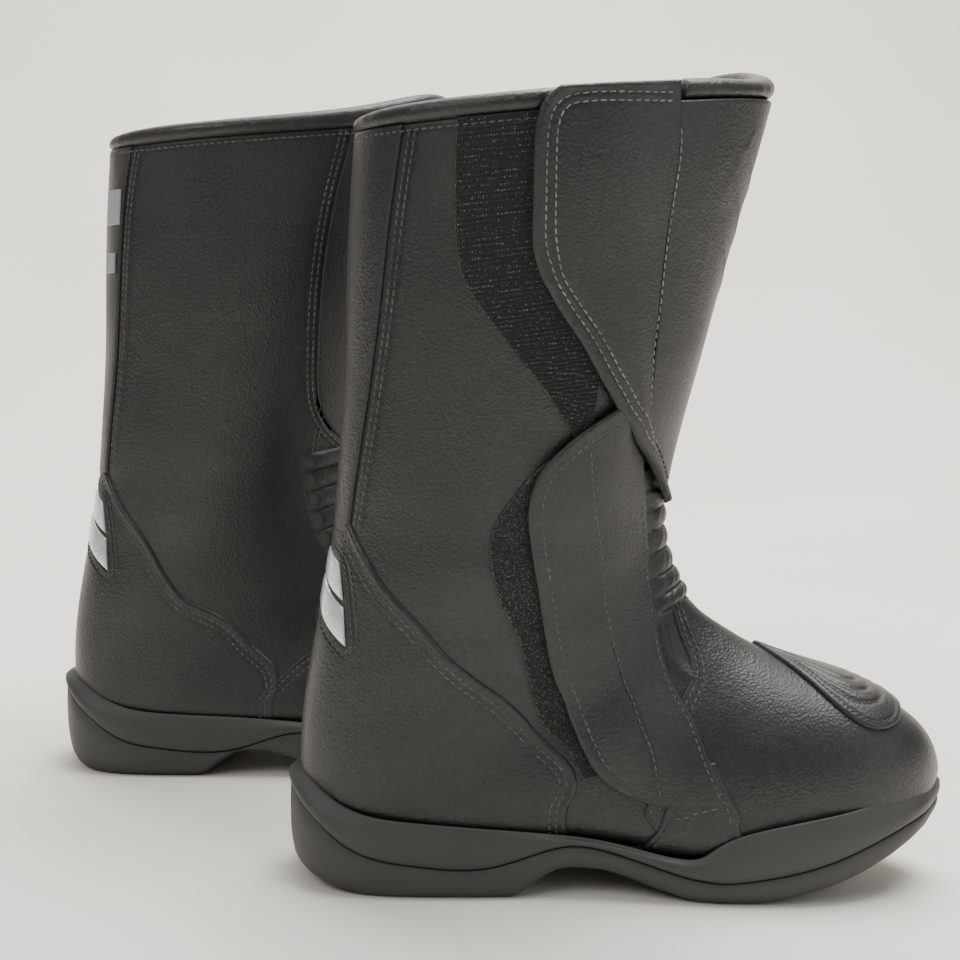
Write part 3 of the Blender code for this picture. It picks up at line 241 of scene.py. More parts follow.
def tube_frame(s, turn):
    """Point, direction along the boot, direction round it, and outward normal."""
    ds, dt = 0.03, 0.03
    low, high = np.clip(s - ds, ABOVE_RIM, LAST), np.clip(s + ds, ABOVE_RIM, LAST)
    along = (tube(high, turn) - tube(low, turn)) / (high - low)[..., None]
    round_it = (tube(s, turn + dt) - tube(s, turn - dt)) / (2 * dt)
    normal = np.cross(along, round_it)
    normal /= np.maximum(np.linalg.norm(normal, axis=-1, keepdims=True), 1e-9)
    return tube(s, turn), along, round_it, normal


def sway(s, turn):
    """Slow dents and ankle folds of used leather, in metres off the tube.

    Two crossed waves of a third of a millimetre, and on the sides of the ankle a few slanting
    folds that fade out above and below.
    """
    slow = 0.3 * np.sin(1.7 * s + 2 * turn + 0.4) * np.sin(1.1 * s - turn + 0.9)
    side = np.sin(turn) ** 2 * np.exp(-((s - 5.8) / 1.3) ** 2)
    folds = 0.4 * side * np.sin(4.6 * s - 2.2 * np.cos(turn) + 0.8)
    return (slow * np.clip((16.5 - s) / 3, 0, 1) + folds) * MM


def lifted(s, turn, lift):
    """Point at a distance (metres) outward from the tube."""
    s, turn, lift = np.broadcast_arrays(*(np.asarray(v, float) for v in (s, turn, lift)))
    point, _, _, normal = tube_frame(s, turn)
    return point + normal * (lift + sway(s, turn))[..., None]


def on_tube(points, side, top=0.0):
    """Section and turn of side-view points; side is -1 towards the other boot and 1 away.

    For each point the signed distance to the line between front and back is read at all
    samples; its zero gives the section, and the place on that line gives the turn. Places
    above section top are brought down to it.
    """
    points = np.asarray(points, float)[:, None] * MM
    fx, fz, bx, bz = SAMPLED[:, :4].T
    x, z = points[..., 0], points[..., 1]
    size = np.hypot(bx - fx, bz - fz)
    cross = ((x - fx) * (bz - fz) - (z - fz) * (bx - fx)) / size
    inside = ((x - fx) * (bx - fx) + (z - fz) * (bz - fz)) / size ** 2
    near = np.where((inside > -0.2) & (inside < 1.2), np.abs(cross), 1e9)
    i = np.clip(near.argmin(axis=1), 1, len(SAMPLES) - 2)
    k = np.arange(len(i))
    slope = (cross[k, i + 1] - cross[k, i - 1]) / (SAMPLES[i + 1] - SAMPLES[i - 1])
    step = np.clip(-cross[k, i] / slope, -0.02, 0.02)
    s = np.clip(SAMPLES[i] + step, top, LAST)
    t = np.clip(inside[k, i], 0.0, 1.0)
    widest, front_square, back_square = SAMPLED[i, 7:10].T
    front = np.arccos(np.clip(1 - t / widest, 0, 1) ** (front_square / 2))
    back = PI - np.arccos(np.clip((t - widest) / (1 - widest), 0, 1) ** (back_square / 2))
    return np.stack([s, side * np.where(t < widest, front, back)], -1)


def curve(places, count=400, straight=False):
    """A smooth line through places on the tube, as evenly spaced places."""
    places = np.asarray(places, float)
    if len(places) > 2 and not straight:
        ends = tube(places[:, 0], places[:, 1])
        steps = np.sqrt(np.linalg.norm(np.diff(ends, axis=0), axis=1)) + 1e-6
        chord = np.concatenate([[0], np.cumsum(steps)])
        fine = np.linspace(0, chord[-1], 60 * len(places))
        places = hermite(chord, places, fine)
    else:
        fine = np.linspace(0, len(places) - 1, 600)
        steps = np.arange(len(places))
        places = along_line(fine, steps, places)
    return evenly(places, count)


def along_line(at, run, values):
    """Each column of values read at places of a run."""
    return np.stack([np.interp(at, run, column) for column in np.transpose(values)], -1)


def unit(vectors):
    """Rows of vectors at length one."""
    return vectors / np.linalg.norm(vectors, axis=-1, keepdims=True)


def hermite(knots, values, at):
    """Cubic pieces whose slope at each knot is that of the parabola through its neighbours."""
    h = np.diff(knots)[:, None]
    d = np.diff(values, axis=0) / h
    slope = np.empty_like(values)
    slope[1:-1] = (h[1:] * d[:-1] + h[:-1] * d[1:]) / (h[1:] + h[:-1])
    slope[0], slope[-1] = 1.5 * d[0] - 0.5 * slope[1], 1.5 * d[-1] - 0.5 * slope[-2]
    i = np.clip(np.searchsorted(knots, at, side="right") - 1, 0, len(knots) - 2)
    w = h[i]
    f = (at - knots[i])[:, None] / w
    return (values[i] * (1 + 2 * f) * (1 - f) ** 2 + values[i + 1] * f * f * (3 - 2 * f)
            + slope[i] * w * f * (1 - f) ** 2 + slope[i + 1] * w * f * f * (f - 1))


def evenly(places, count):
    """The same line with evenly spaced places by length."""
    length = np.linalg.norm(np.diff(tube(places[:, 0], places[:, 1]), axis=0), axis=1)
    run = np.concatenate([[0], np.cumsum(length + 1e-9)])
    return along_line(np.linspace(0, run[-1], count), run, places)


def side_curve(points, side=-1, count=400, top=None, foot=None, above=0.0):
    """A smooth line through side-view points, ending on a rim section or under the foot."""
    places = on_tube(points, side, above)
    if top is not None:
        places[0, 0] = top
    if foot is not None:
        places = np.vstack([places, [(foot, side * foot_edge(foot))]])
    return curve(places, count)


def foot_edge(s):
    """How far round the section the upper reaches under the foot, in radians."""
    table = np.array(FOOT_EDGE)
    return np.radians(np.interp(s, table[:, 0], table[:, 1]))


def moved(places, distance, top=0.0):
    """A line on the tube moved sideways by a distance (mm), to the left of its direction."""
    s, turn = places[:, 0], places[:, 1]
    point, along, round_it, normal = tube_frame(s, turn)
    ahead = np.gradient(point, axis=0)
    ahead /= np.maximum(np.linalg.norm(ahead, axis=1, keepdims=True), 1e-9)
    aside = np.cross(normal, ahead) * np.reshape(distance, (-1, 1)) * MM
    a, b, c = (along * along).sum(1), (along * round_it).sum(1), (round_it * round_it).sum(1)
    p, q = (aside * along).sum(1), (aside * round_it).sum(1)
    det = np.maximum(a * c - b * b, 1e-12)
    return np.stack([np.clip(s + (c * p - b * q) / det, top, LAST), turn + (a * q - b * p) / det], -1)


def wrapped(places):
    """The same places with their turn counted from 0 to a full turn, for lines behind the leg."""
    places = places.copy()
    places[:, 1] %= 2 * PI
    return places


# ---------------------------------------------------------------- patches

def graded(count, length, edge):
    """Places from 0 to 1, close together where the ends are rounded over."""
    ends = np.array([0, 0.06, 0.22, 0.48, 0.8]) * edge / max(length, 4 * edge)
    first = 1.3 * edge / max(length, 4 * edge)
    return np.concatenate([ends, np.linspace(first, 1 - first, count), 1 - ends[::-1]])


def run_along(points, axis=0):
    """Length run from the first point along an axis of an array of points."""
    steps = np.linalg.norm(np.diff(points, axis=axis), axis=-1)
    first = np.zeros_like(steps.take([0], axis))
    return np.concatenate([first, np.cumsum(steps, axis)], axis)


def smooth(x):
    """An S from 0 to 1 with level ends."""
    x = np.clip(x, 0, 1)
    return x * x * (3 - 2 * x)


def grid_faces(rows, columns, start=0, wrap=False):
    """Quads of a grid of points, wound along the rows and then across."""
    i, j = np.meshgrid(np.arange(rows - 1), np.arange(columns if wrap else columns - 1), indexing="ij")
    k = (j + 1) % columns
    quads = np.stack([i * columns + j, (i + 1) * columns + j, (i + 1) * columns + k, i * columns + k], -1)
    return quads.reshape(-1, 4) + start


def border_loop(rows, columns):
    """Point numbers round a grid's border, down its first column and back along its first row."""
    grid = np.arange(rows * columns).reshape(rows, columns)
    return np.concatenate([grid[:-1, 0], grid[-1, :-1], grid[:0:-1, -1], grid[0, :0:-1]])


def near_line(points, line, reach):
    """Distance in metres from each point to a line of close points, no more than reach."""
    distance = np.full(len(points), reach)
    low, high = line.min(0) - reach, line.max(0) + reach
    close = np.flatnonzero(((points > low) & (points < high)).all(1))
    for part in np.array_split(close, max(1, len(close) // 4000)):
        if len(part):
            gap = np.linalg.norm(points[part][:, None] - line[None], axis=2)
            distance[part] = np.minimum(gap.min(axis=1), reach)
    return distance


def patch(rails, rows, columns, outer, thick=1.3, edge=1.2, places=None, relief=(), closed=False,
          shape=None):
    """A patch strung between lines on the tube, with rounded edges.

    Rows run along the lines and columns across them. outer is the distance in mm of the
    outer skin from the tube, one number or one for each line. Within edge mm of the border
    the skin rolls over in a quarter circle, and a wall goes down by thick mm. relief holds
    (line, width, height) of grooves and ridges with a bell-shaped section. closed adds an
    inner skin. shape(s, turn, u, v) adds a distance of its own in mm.
    """
    stack = np.stack([evenly(np.asarray(r, float), 400) for r in rails])
    ends = tube(stack[..., 0], stack[..., 1])
    length = np.linalg.norm(np.diff(ends, axis=1), axis=2).sum(1).mean() / MM
    width = np.linalg.norm(np.diff(ends, axis=0), axis=2).sum(0).mean() / MM
    v, u = graded(rows, length, edge), graded(columns, width, edge)
    if places is None:
        places = np.linspace(0, 1, len(rails))
    at = v * 399
    low = np.minimum(at.astype(int), 398)
    f = (at - low)[None, :, None]
    stack = stack[:, low] * (1 - f) + stack[:, low + 1] * f
    k = np.clip(np.searchsorted(places, u, side="right") - 1, 0, len(rails) - 2)
    w = ((u - np.asarray(places)[k]) / (np.asarray(places)[k + 1] - np.asarray(places)[k]))
    net = stack[k] * (1 - w)[:, None, None] + stack[k + 1] * w[:, None, None]
    s, turn = net[..., 0].T, net[..., 1].T
    values = np.broadcast_to(outer, (len(rails),)).astype(float)
    lift = np.broadcast_to((values[k] + (values[k + 1] - values[k]) * smooth(w))[None], s.shape).copy()
    if shape is not None:
        lift = lift + shape(s, turn, u[None, :], v[:, None])
    base = lifted(s, turn, lift * MM)
    across, down = run_along(base, 1), run_along(base, 0)
    from_side = np.minimum(across, across[:, -1:] - across) / MM
    from_end = np.minimum(down, down[-1:] - down) / MM
    roll = np.ones_like(lift)
    for distance in (from_side, from_end):
        roll = np.minimum(roll, np.sqrt(1 - (1 - np.clip(distance / edge, 0, 1)) ** 2))
    skin = lift - min(edge, thick) * (1 - roll)
    for line, reach, height in relief:
        track = lifted(line[:, 0], line[:, 1], np.mean(lift) * MM)
        distance = near_line(base.reshape(-1, 3), track, 3.5 * reach * MM).reshape(s.shape) / MM
        skin = skin + height * (np.exp(-(distance / reach) ** 2) - math.exp(-12.25)) * (roll > 0.999)
    points = lifted(s, turn, skin * MM)
    uv = np.stack([across, down], -1)
    r, c = s.shape
    loop = border_loop(r, c)
    faces = [grid_faces(r, c)]
    inner = lifted(s, turn, (lift - thick) * MM).reshape(-1, 3)
    if closed:
        faces.append(grid_faces(r, c, r * c)[:, ::-1])
        other = loop + r * c
        points, uv = np.vstack([points.reshape(-1, 3), inner]), np.vstack([uv.reshape(-1, 2)] * 2)
    else:
        other = r * c + np.arange(len(loop))
        points = np.vstack([points.reshape(-1, 3), inner[loop]])
        uv = np.vstack([uv.reshape(-1, 2), uv.reshape(-1, 2)[loop]])
    ahead = np.roll(np.arange(len(loop)), -1)
    faces.append(np.stack([loop[ahead], loop, other, other[ahead]], -1))
    faces = np.vstack(faces)
    normal = tube_frame(s[r // 2, c // 2], turn[r // 2, c // 2])[3]
    here, below, beside = base[r // 2, c // 2], base[r // 2 + 1, c // 2], base[r // 2, c // 2 + 1]
    if np.cross(below - here, beside - here) @ normal < 0:
        faces = faces[:, ::-1]
    return points, faces, uv


def merge(*shapes):
    """Several (points, faces, uv) as one."""
    start, points, faces, uv = 0, [], [], []
    for p, f, t in shapes:
        points.append(p)
        faces.append(np.asarray(f) + start)
        uv.append(t)
        start += len(p)
    return np.vstack(points), np.vstack(faces), np.vstack(uv)


def sweep(centres, ups, asides, profile, closed=True, cap=True):
    """A profile of (aside, up) points in metres carried along a path, with its ends filled."""
    n, m = len(centres), profile.shape[-2]
    aside, up = profile[..., 0, None], profile[..., 1, None]
    points = centres[:, None] + asides[:, None] * aside + ups[:, None] * up
    faces = [grid_faces(n, m, 0, closed)]
    uv = np.stack(np.broadcast_arrays(np.arange(n)[:, None] * 0.002, np.arange(m)[None] * 0.002), -1)
    points = points.reshape(-1, 3)
    if cap and closed:
        half = np.arange(m // 2 - 1)
        first = np.stack([half, half + 1, m - 2 - half, m - 1 - half], -1)
        faces += [first, first[:, ::-1] + (n - 1) * m]
    return points, np.vstack(faces), uv.reshape(-1, 2)


def outward(shape):
    """The closed shape with its faces turned outward, judged by its signed volume."""
    points, faces, uv = shape
    a, b, c, d = (points[faces[:, k]] for k in range(4))
    volume = (np.cross(b, c) * a).sum() + (np.cross(c, d) * a).sum()
    return (points, faces, uv) if volume > 0 else (points, faces[:, ::-1], uv)


# ---------------------------------------------------------------- stitches

def stitches(line, lift, pitch=3.6, length=2.7, wide=0.42, high=0.34):
    """A row of thread stitches on a line: small long beads that dip in at both ends.

    lift is the leather's distance from the tube in mm, one number or a function of places.
    """
    line = evenly(np.asarray(line, float), 500)
    lifts = lift(line) if callable(lift) else np.full(len(line), float(lift))
    track = lifted(line[:, 0], line[:, 1], lifts * MM)
    run = run_along(track)
    count = max(2, int(run[-1] / (pitch * MM)))
    want = (np.arange(count) + 0.5) * run[-1] / count
    ring_x = np.array([-0.5, -0.42, -0.18, 0.18, 0.42, 0.5])
    ring_r = np.array([0.25, 0.75, 1.0, 1.0, 0.75, 0.25])
    angle = np.arange(6) * PI / 3
    at = want[:, None] + ring_x[None] * length * MM
    centre, places = along_line(at, run, track), along_line(want, run, line)
    normal = tube_frame(places[:, 0], places[:, 1])[3]
    ahead = unit(centre[:, -1] - centre[:, 0])
    aside = np.cross(normal, ahead)
    rise = (0.12 - 0.32 * (np.abs(ring_x) * 2) ** 3) * MM
    lean = 0.18 * MM * ring_x
    centre = centre + normal[:, None] * rise[None, :, None] + aside[:, None] * lean[None, :, None]
    across = aside[:, None, None] * (ring_r[:, None] * np.cos(angle) * wide * MM)[None, ..., None]
    upward = normal[:, None, None] * (ring_r[:, None] * np.sin(angle) * high * MM)[None, ..., None]
    points = (centre[:, :, None] + across + upward).reshape(-1, 3)
    one = grid_faces(6, 6, 0, True)
    one = np.vstack([one, [(3, 2, 1, 0), (5, 4, 3, 0)], np.array([(0, 1, 2, 3), (0, 3, 4, 5)]) + 30])
    if np.cross(aside[0], normal[0]) @ ahead[0] > 0:
        one = one[:, ::-1]
    faces = (one[None] + (np.arange(count) * 36)[:, None, None]).reshape(-1, 4)
    uv = np.tile(np.stack([np.repeat(ring_x, 6), np.tile(angle, 6)], -1), (count, 1))
    return outward((points, faces, uv))


# ---------------------------------------------------------------- objects

def placed(points, second):
    """Points of the first boot, or mirrored, turned and moved for the second, in the pair's frame."""
    points = np.array(points, float)
    if second:
        c, s = math.cos(SECOND_TURN), math.sin(SECOND_TURN)
        x, y = points[..., 0].copy(), -points[..., 1]
        points[..., 0] = SECOND_BACK + x * c - y * s
        points[..., 1] = SECOND_SIDE + x * s + y * c
    return points - MIDDLE


def make_mesh(name, shape):
    """A smooth-shaded mesh object from arrays of points, quads and one UV for each point."""
    points, faces, uv = shape
    faces = np.ascontiguousarray(faces, np.int32)
    mesh = bpy.data.meshes.new(name)
    mesh.vertices.add(len(points))
    mesh.vertices.foreach_set("co", np.ascontiguousarray(points, np.float32).ravel())
    mesh.loops.add(faces.size)
    mesh.loops.foreach_set("vertex_index", faces.ravel())
    mesh.polygons.add(len(faces))
    mesh.polygons.foreach_set("loop_start", np.arange(0, faces.size, 4, dtype=np.int32))
    mesh.polygons.foreach_set("loop_total", np.full(len(faces), 4, np.int32))
    mesh.polygons.foreach_set("use_smooth", np.ones(len(faces), bool))
    layer = mesh.uv_layers.new(name="UVMap")
    layer.data.foreach_set("uv", np.ascontiguousarray(uv[faces.ravel()], np.float32).ravel())
    mesh.update(calc_edges=True)
    mesh.validate()
    item = bpy.data.objects.new(name, mesh)
    bpy.context.scene.collection.objects.link(item)
    return item


def publish(name, shape, material, body="boot", nodes=(), bend=None):
    """Make the piece for both boots and tie it to its body of the frame.

    material is a name from the table of materials, and nodes are the solids it stands for.
    bend holds (start, end) points across a flap's sewn edge; a piece given them keeps its place and is not
    tied to any body, and the points themselves are not used.
    """
    for second, side in enumerate(SIDES):
        points, faces, uv = shape
        mirrored = faces[:, ::-1] if second else faces
        item = make_mesh(f"{side}_{name}_look", (placed(points, second), mirrored, uv))
        item.data.materials.append(MATERIALS[material])
        if bend:
            start, end = (placed(np.array(p), second) for p in bend)
            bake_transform(item)
        else:
            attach(item, f"{side}_{body}")
        if nodes:
            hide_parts(*(f"{side}_{node}" for node in nodes))


# ---------------------------------------------------------------- materials

class Nodes:
    """Short helper that adds shader nodes and links them in order."""

    def __init__(self, name):
        self.material = bpy.data.materials.new(name)
        self.material.use_nodes = True
        self.tree = self.material.node_tree
        self.shader = self.tree.nodes["Principled BSDF"]
        self.where = self.add("ShaderNodeTexCoord")

    def add(self, kind, **values):
        node = self.tree.nodes.new(kind)
        for key, value in values.items():
            setattr(node, key, value)
        return node

    def link(self, source, target):
        self.tree.links.new(source, target)

    def noise(self, scale, detail=2.0, rough=0.5):
        node = self.add("ShaderNodeTexNoise")
        node.inputs["Scale"].default_value = scale
        node.inputs["Detail"].default_value = detail
        node.inputs["Roughness"].default_value = rough
        self.link(self.where.outputs["Object"], node.inputs["Vector"])
        return node.outputs["Fac"]

    def cells(self, scale, vector=None, feature="F1"):
        node = self.add("ShaderNodeTexVoronoi", feature=feature)
        node.inputs["Scale"].default_value = scale
        self.link(vector or self.where.outputs["Object"], node.inputs["Vector"])
        return node

    def stretched(self, scale, source="UV"):
        node = self.add("ShaderNodeMapping")
        node.inputs["Scale"].default_value = scale
        self.link(self.where.outputs[source], node.inputs["Vector"])
        return node.outputs["Vector"]

    def ramp(self, value, stops):
        node = self.add("ShaderNodeValToRGB")
        elements = node.color_ramp.elements
        while len(elements) < len(stops):
            elements.new(0.5)
        for element, (place, colour) in zip(elements, stops):
            element.position = place
            element.color = (*colour, 1.0)
        self.link(value, node.inputs["Fac"])
        return node.outputs["Color"]

    def fit(self, value, low, high, start=0.0, stop=1.0):
        node = self.add("ShaderNodeMapRange")
        node.inputs["From Min"].default_value = start
        node.inputs["From Max"].default_value = stop
        node.inputs["To Min"].default_value = low
        node.inputs["To Max"].default_value = high
        self.link(value, node.inputs["Value"])
        return node.outputs["Result"]

    def maths(self, kind, a, b):
        node = self.add("ShaderNodeMath", operation=kind)
        for socket, value in zip(node.inputs, (a, b)):
            if isinstance(value, float):
                socket.default_value = value
            else:
                self.link(value, socket)
        return node.outputs[0]

    def bump(self, height, distance, strength=1.0, under=None):
        node = self.add("ShaderNodeBump")
        node.inputs["Distance"].default_value = distance
        node.inputs["Strength"].default_value = strength
        self.link(height, node.inputs["Height"])
        if under is not None:
            self.link(under, node.inputs["Normal"])
        return node.outputs["Normal"]

    def finish(self, colour=None, rough=None, normal=None, **values):
        for socket, value in (("Base Color", colour), ("Roughness", rough), ("Normal", normal)):
            if value is not None:
                self.link(value, self.shader.inputs[socket])
        for key, value in values.items():
            self.shader.inputs[key].default_value = value
        return self.material


def tinted(colour, k):
    return tuple(min(1.0, c * k) for c in colour)


def leather_material(name, colour, rough, grain):
    """Corrected-grain leather: fine pebbles over slow shade, rubbed a little smoother in places."""
    n = Nodes(name)
    shade = n.noise(14.0, 4.0)
    speck = n.maths("ADD", shade, n.fit(n.noise(520.0, 3.0), -0.16, 0.16, 0.3, 0.7))
    tone = n.ramp(speck, ((0.25, tinted(colour, 0.62)), (0.52, colour), (0.85, tinted(colour, 1.7))))
    pebble = n.cells(760.0).outputs["Distance"]
    pores = n.noise(2100.0, 2.0)
    creases = n.noise(95.0, 4.0, rough=0.6)
    normal = n.bump(creases, 0.0007, 0.4 * grain)
    normal = n.bump(pebble, 0.0003, 0.6 * grain, normal)
    normal = n.bump(pores, 0.00014, 0.5 * grain, normal)
    shine = n.maths("ADD", n.fit(n.noise(26.0, 3.0), rough - 0.07, rough + 0.08, 0.3, 0.7),
                    n.fit(pebble, 0.05, -0.03))
    return n.finish(tone, shine, normal, **{"Specular IOR Level": 0.5})


def knit_material(name, colour):
    """Loop tape: rows of small loops on a dark ground, in the strip's own UV metres; painted glints make the
    loops up to nine times lighter than the black tape, and painted shade darkens the ground between them.
    """
    n = Nodes(name)
    rows = n.stretched((820.0, 640.0, 1.0))
    cell = n.cells(1.0, vector=rows)
    cell.inputs["Randomness"].default_value = 0.45
    loops = n.fit(cell.outputs["Distance"], 1.0, 0.0, 0.05, 0.62)
    wave = n.add("ShaderNodeTexWave", bands_direction="Y")
    wave.inputs["Scale"].default_value = 1.0
    wave.inputs["Distortion"].default_value = 1.2
    wave.inputs["Detail"].default_value = 2.0
    n.link(n.stretched((140.0, 110.0, 1.0)), wave.inputs["Vector"])
    light = n.maths("MULTIPLY", loops, n.fit(wave.outputs["Fac"], 0.25, 1.0))
    speck = n.maths("MULTIPLY", light, n.fit(n.noise(1300.0, 1.0), 0.2, 1.5, 0.35, 0.65))
    # painted glints on the loops and painted shade in the gaps between them, in the tape's colour
    tone = n.ramp(speck, ((0.15, tinted(colour, 0.3)), (0.45, colour), (0.95, tinted(colour, 9.0))))
    normal = n.bump(light, 0.0006, 0.9)
    return n.finish(tone, None, normal, Roughness=0.85, **{"Sheen Weight": 0.25, "Sheen Roughness": 0.4})


def pile_material(name, colour):
    """Hook tape and fuzzy pile: random ends standing in a black ground; painted glints make the ends up to
    eight times lighter than the black tape, and painted shade darkens the ground between them.
    """
    n = Nodes(name)
    cell = n.cells(1150.0)
    ends = n.fit(cell.outputs["Distance"], 1.0, 0.0, 0.08, 0.55)
    speck = n.maths("MULTIPLY", ends, n.fit(n.noise(640.0, 2.0), 0.0, 1.6, 0.4, 0.62))
    # painted glints on the fibre ends and painted shade on the ground between them, in the tape's colour
    tone = n.ramp(speck, ((0.25, tinted(colour, 0.4)), (0.6, tinted(colour, 1.6)),
                          (0.95, tinted(colour, 8.0))))
    normal = n.bump(ends, 0.0008, 1.0)
    return n.finish(tone, None, normal, Roughness=0.9, **{"Sheen Weight": 0.3, "Sheen Roughness": 0.4})


def lining_material(name, colour):
    """Warp-knitted lining: a small diamond mesh."""
    n = Nodes(name)
    cell = n.cells(1.0, vector=n.stretched((420.0, 300.0, 1.0)))
    tone = n.ramp(cell.outputs["Distance"], ((0.1, tinted(colour, 0.5)), (0.6, tinted(colour, 1.5))))
    normal = n.bump(cell.outputs["Distance"], 0.0006, 0.7)
    return n.finish(tone, None, normal, Roughness=0.95, **{"Sheen Weight": 0.3})


def rubber_material(name, colour):
    """Moulded rubber: a dull skin with fine dust in its low spots and faint scuffs."""
    n = Nodes(name)
    dust = n.noise(42.0, 5.0, rough=0.65)
    tone = n.ramp(dust, ((0.3, tinted(colour, 0.82)), (0.62, colour), (0.85, tinted(colour, 1.35))))
    grit = n.noise(1500.0, 3.0)
    normal = n.bump(grit, 0.00012, 0.5)
    return n.finish(tone, n.fit(dust, 0.48, 0.66, 0.3, 0.7), normal)


def thread_material(name, colour):
    """Twisted polyester thread: slanting plies round each stitch."""
    n = Nodes(name)
    wave = n.add("ShaderNodeTexWave", bands_direction="DIAGONAL")
    wave.inputs["Scale"].default_value = 2.6
    n.link(n.where.outputs["UV"], wave.inputs["Vector"])
    tone = n.ramp(n.noise(120.0, 2.0), ((0.3, tinted(colour, 0.55)), (0.7, tinted(colour, 1.5))))
    normal = n.bump(wave.outputs["Fac"], 0.00008, 0.7)
    return n.finish(tone, None, normal, Roughness=0.55)


def foil_material(name, colour):
    """Reflective film: tiny prisms in a hexagon-like net under a clear coat."""
    n = Nodes(name)
    cell = n.cells(900.0, feature="DISTANCE_TO_EDGE")
    tone = n.ramp(n.fit(cell.outputs["Distance"], 0.0, 1.0, 0.0, 0.25),
                  ((0.0, tinted(colour, 0.7)), (0.5, colour), (1.0, tinted(colour, 1.15))))
    normal = n.bump(n.noise(60.0, 2.0), 0.0004, 0.4)
    return n.finish(tone, n.fit(n.noise(30.0), 0.18, 0.36, 0.3, 0.7), normal, Metallic=0.55,
                    **{"Coat Weight": 0.4})


def metal_material(name, colour):
    """Dark nickel plate with fine drawing lines."""
    n = Nodes(name)
    lines = n.noise(1.0, 3.0)
    n.link(n.stretched((300.0, 6000.0, 300.0), "Object"), lines.node.inputs["Vector"])
    tone = n.ramp(lines, ((0.3, tinted(colour, 0.8)), (0.7, tinted(colour, 1.2))))
    return n.finish(tone, n.fit(lines, 0.25, 0.42), n.bump(lines, 0.00004, 0.4), Metallic=1.0)


def fibre_material(name, colour):
    """Pressed fibre board and felt: short fibres of lighter and darker shade."""
    n = Nodes(name)
    fibres = n.noise(700.0, 5.0, rough=0.7)
    tone = n.ramp(fibres, ((0.3, tinted(colour, 0.7)), (0.7, tinted(colour, 1.3))))
    return n.finish(tone, None, n.bump(fibres, 0.0003, 0.5), Roughness=0.9)


def cloth_material(name, colour):
    """Woven tape: two crossed sets of ribs in the piece's own UV metres."""
    n = Nodes(name)
    ribs = []
    for direction, scale in (("X", 260.0), ("Y", 200.0)):
        wave = n.add("ShaderNodeTexWave", bands_direction=direction)
        wave.inputs["Scale"].default_value = scale
        n.link(n.where.outputs["UV"], wave.inputs["Vector"])
        ribs.append(wave.outputs["Fac"])
    weave = n.maths("MULTIPLY", *ribs)
    tone = n.ramp(weave, ((0.1, tinted(colour, 0.6)), (0.9, tinted(colour, 1.6))))
    return n.finish(tone, None, n.bump(weave, 0.0003, 0.6), Roughness=0.8)


MATERIALS = {}


def build_materials(looks):
    """All materials by name, in the colours of the sidebar."""
    hide = tuple(looks.leather_colour)
    thread = tuple(looks.thread_colour)
    MATERIALS.update({
        "leather": leather_material("smooth_leather", hide, 0.4, 1.0),
        "flap": leather_material("flap_leather", tinted(hide, 1.12), 0.43, 1.1),
        "padded": leather_material("padded_leather", tinted(hide, 0.95), 0.42, 0.8),
        "collar": leather_material("collar_leather", tinted(hide, 1.05), 0.4, 0.8),
        "knit": knit_material("loop_cloth", (0.018, 0.018, 0.019)),
        "pile": pile_material("hook_cloth", (0.014, 0.014, 0.015)),
        "lining": lining_material("lining_cloth", (0.045, 0.045, 0.05)),
        "rubber": rubber_material("rubber", tuple(looks.sole_colour)),
        "grey_thread": thread_material("grey_thread", thread),
        "dark_thread": thread_material("dark_thread", tinted(thread, 0.42)),
        "foil": foil_material("reflector", (0.72, 0.74, 0.77)),
        "metal": metal_material("metal", (0.32, 0.32, 0.33)),
        "board": fibre_material("board", (0.28, 0.2, 0.12)),
        "foam": fibre_material("foam", (0.06, 0.06, 0.065)),
        "tape": cloth_material("zip_tape", (0.02, 0.02, 0.022)),
        "trim": rubber_material("trim", (0.3, 0.31, 0.33)),
    })


# ---------------------------------------------------------------- lines shared by pieces

def zip_edge(distance, low=0.0, high=1.0, count=400):
    """A line beside the zip, between two shares of its length."""
    line = side_curve(ZIP_LINE, -1, 241)
    part = line[int(low * 240):int(high * 240) + 1]
    return evenly(moved(part, distance), count)


def counter_lines():
    """The heel counter's upper seam, from the inner foot round the back to the outer foot, and its foot."""
    inner = on_tube(INNER_COUNTER_SEAM, -1)[::-1]
    outer = on_tube(OUTER_COUNTER_SEAM, 1)
    inner = np.vstack([[(11.15, -foot_edge(11.15))], inner])
    outer = np.vstack([outer, [(10.95, foot_edge(10.95))]])
    top = curve(np.vstack([wrapped(inner), [(COUNTER_TOP, PI)], wrapped(outer)]), 500)
    sections = np.array([11.05, 10.5, 9.6, 9.15, 8.95])
    left = np.stack([sections, 2 * PI - foot_edge(sections)], -1)
    right = np.stack([sections, foot_edge(sections)], -1)[::-1]
    right[-1] = (10.85, foot_edge(10.85))
    return top, curve(np.vstack([left, right]), 500, True)


def back_lines():
    """The back strip's seams on the inner and the outer side, from the rim down."""
    inner = wrapped(side_curve(INNER_BACK_SEAM, -1, top=0))
    outer = wrapped(side_curve(OUTER_BACK_SEAM, 1, top=0))
    return inner, outer


def shin_outer_line():
    """The shin panel's seam on the outer side, from the rim down."""
    return side_curve(SHIN_OUTER_SEAM, 1, top=0)


def shin_inner_line():
    """The shin panel's edge on the side of the zip, from the rim down."""
    return side_curve(SHIN_INNER_EDGE, -1, top=0)


def flex_border():
    """The outer seam of the padded rolls."""
    return side_curve(FLEX_OUTER_BORDER, 1)


def vamp_edge():
    """The vamp's rear seam, from the inner foot over the instep to the outer foot."""
    tongue = np.array(TONGUE_EDGE, float) * (1, PI / 180)
    inner = [(12.2, -foot_edge(12.2))]
    outer = np.vstack([on_tube(VAMP_OUTER_SEAM, 1), [(10.9, foot_edge(10.9))]])
    return curve(np.vstack([inner, tongue, outer]), 500)


# ---------------------------------------------------------------- pieces

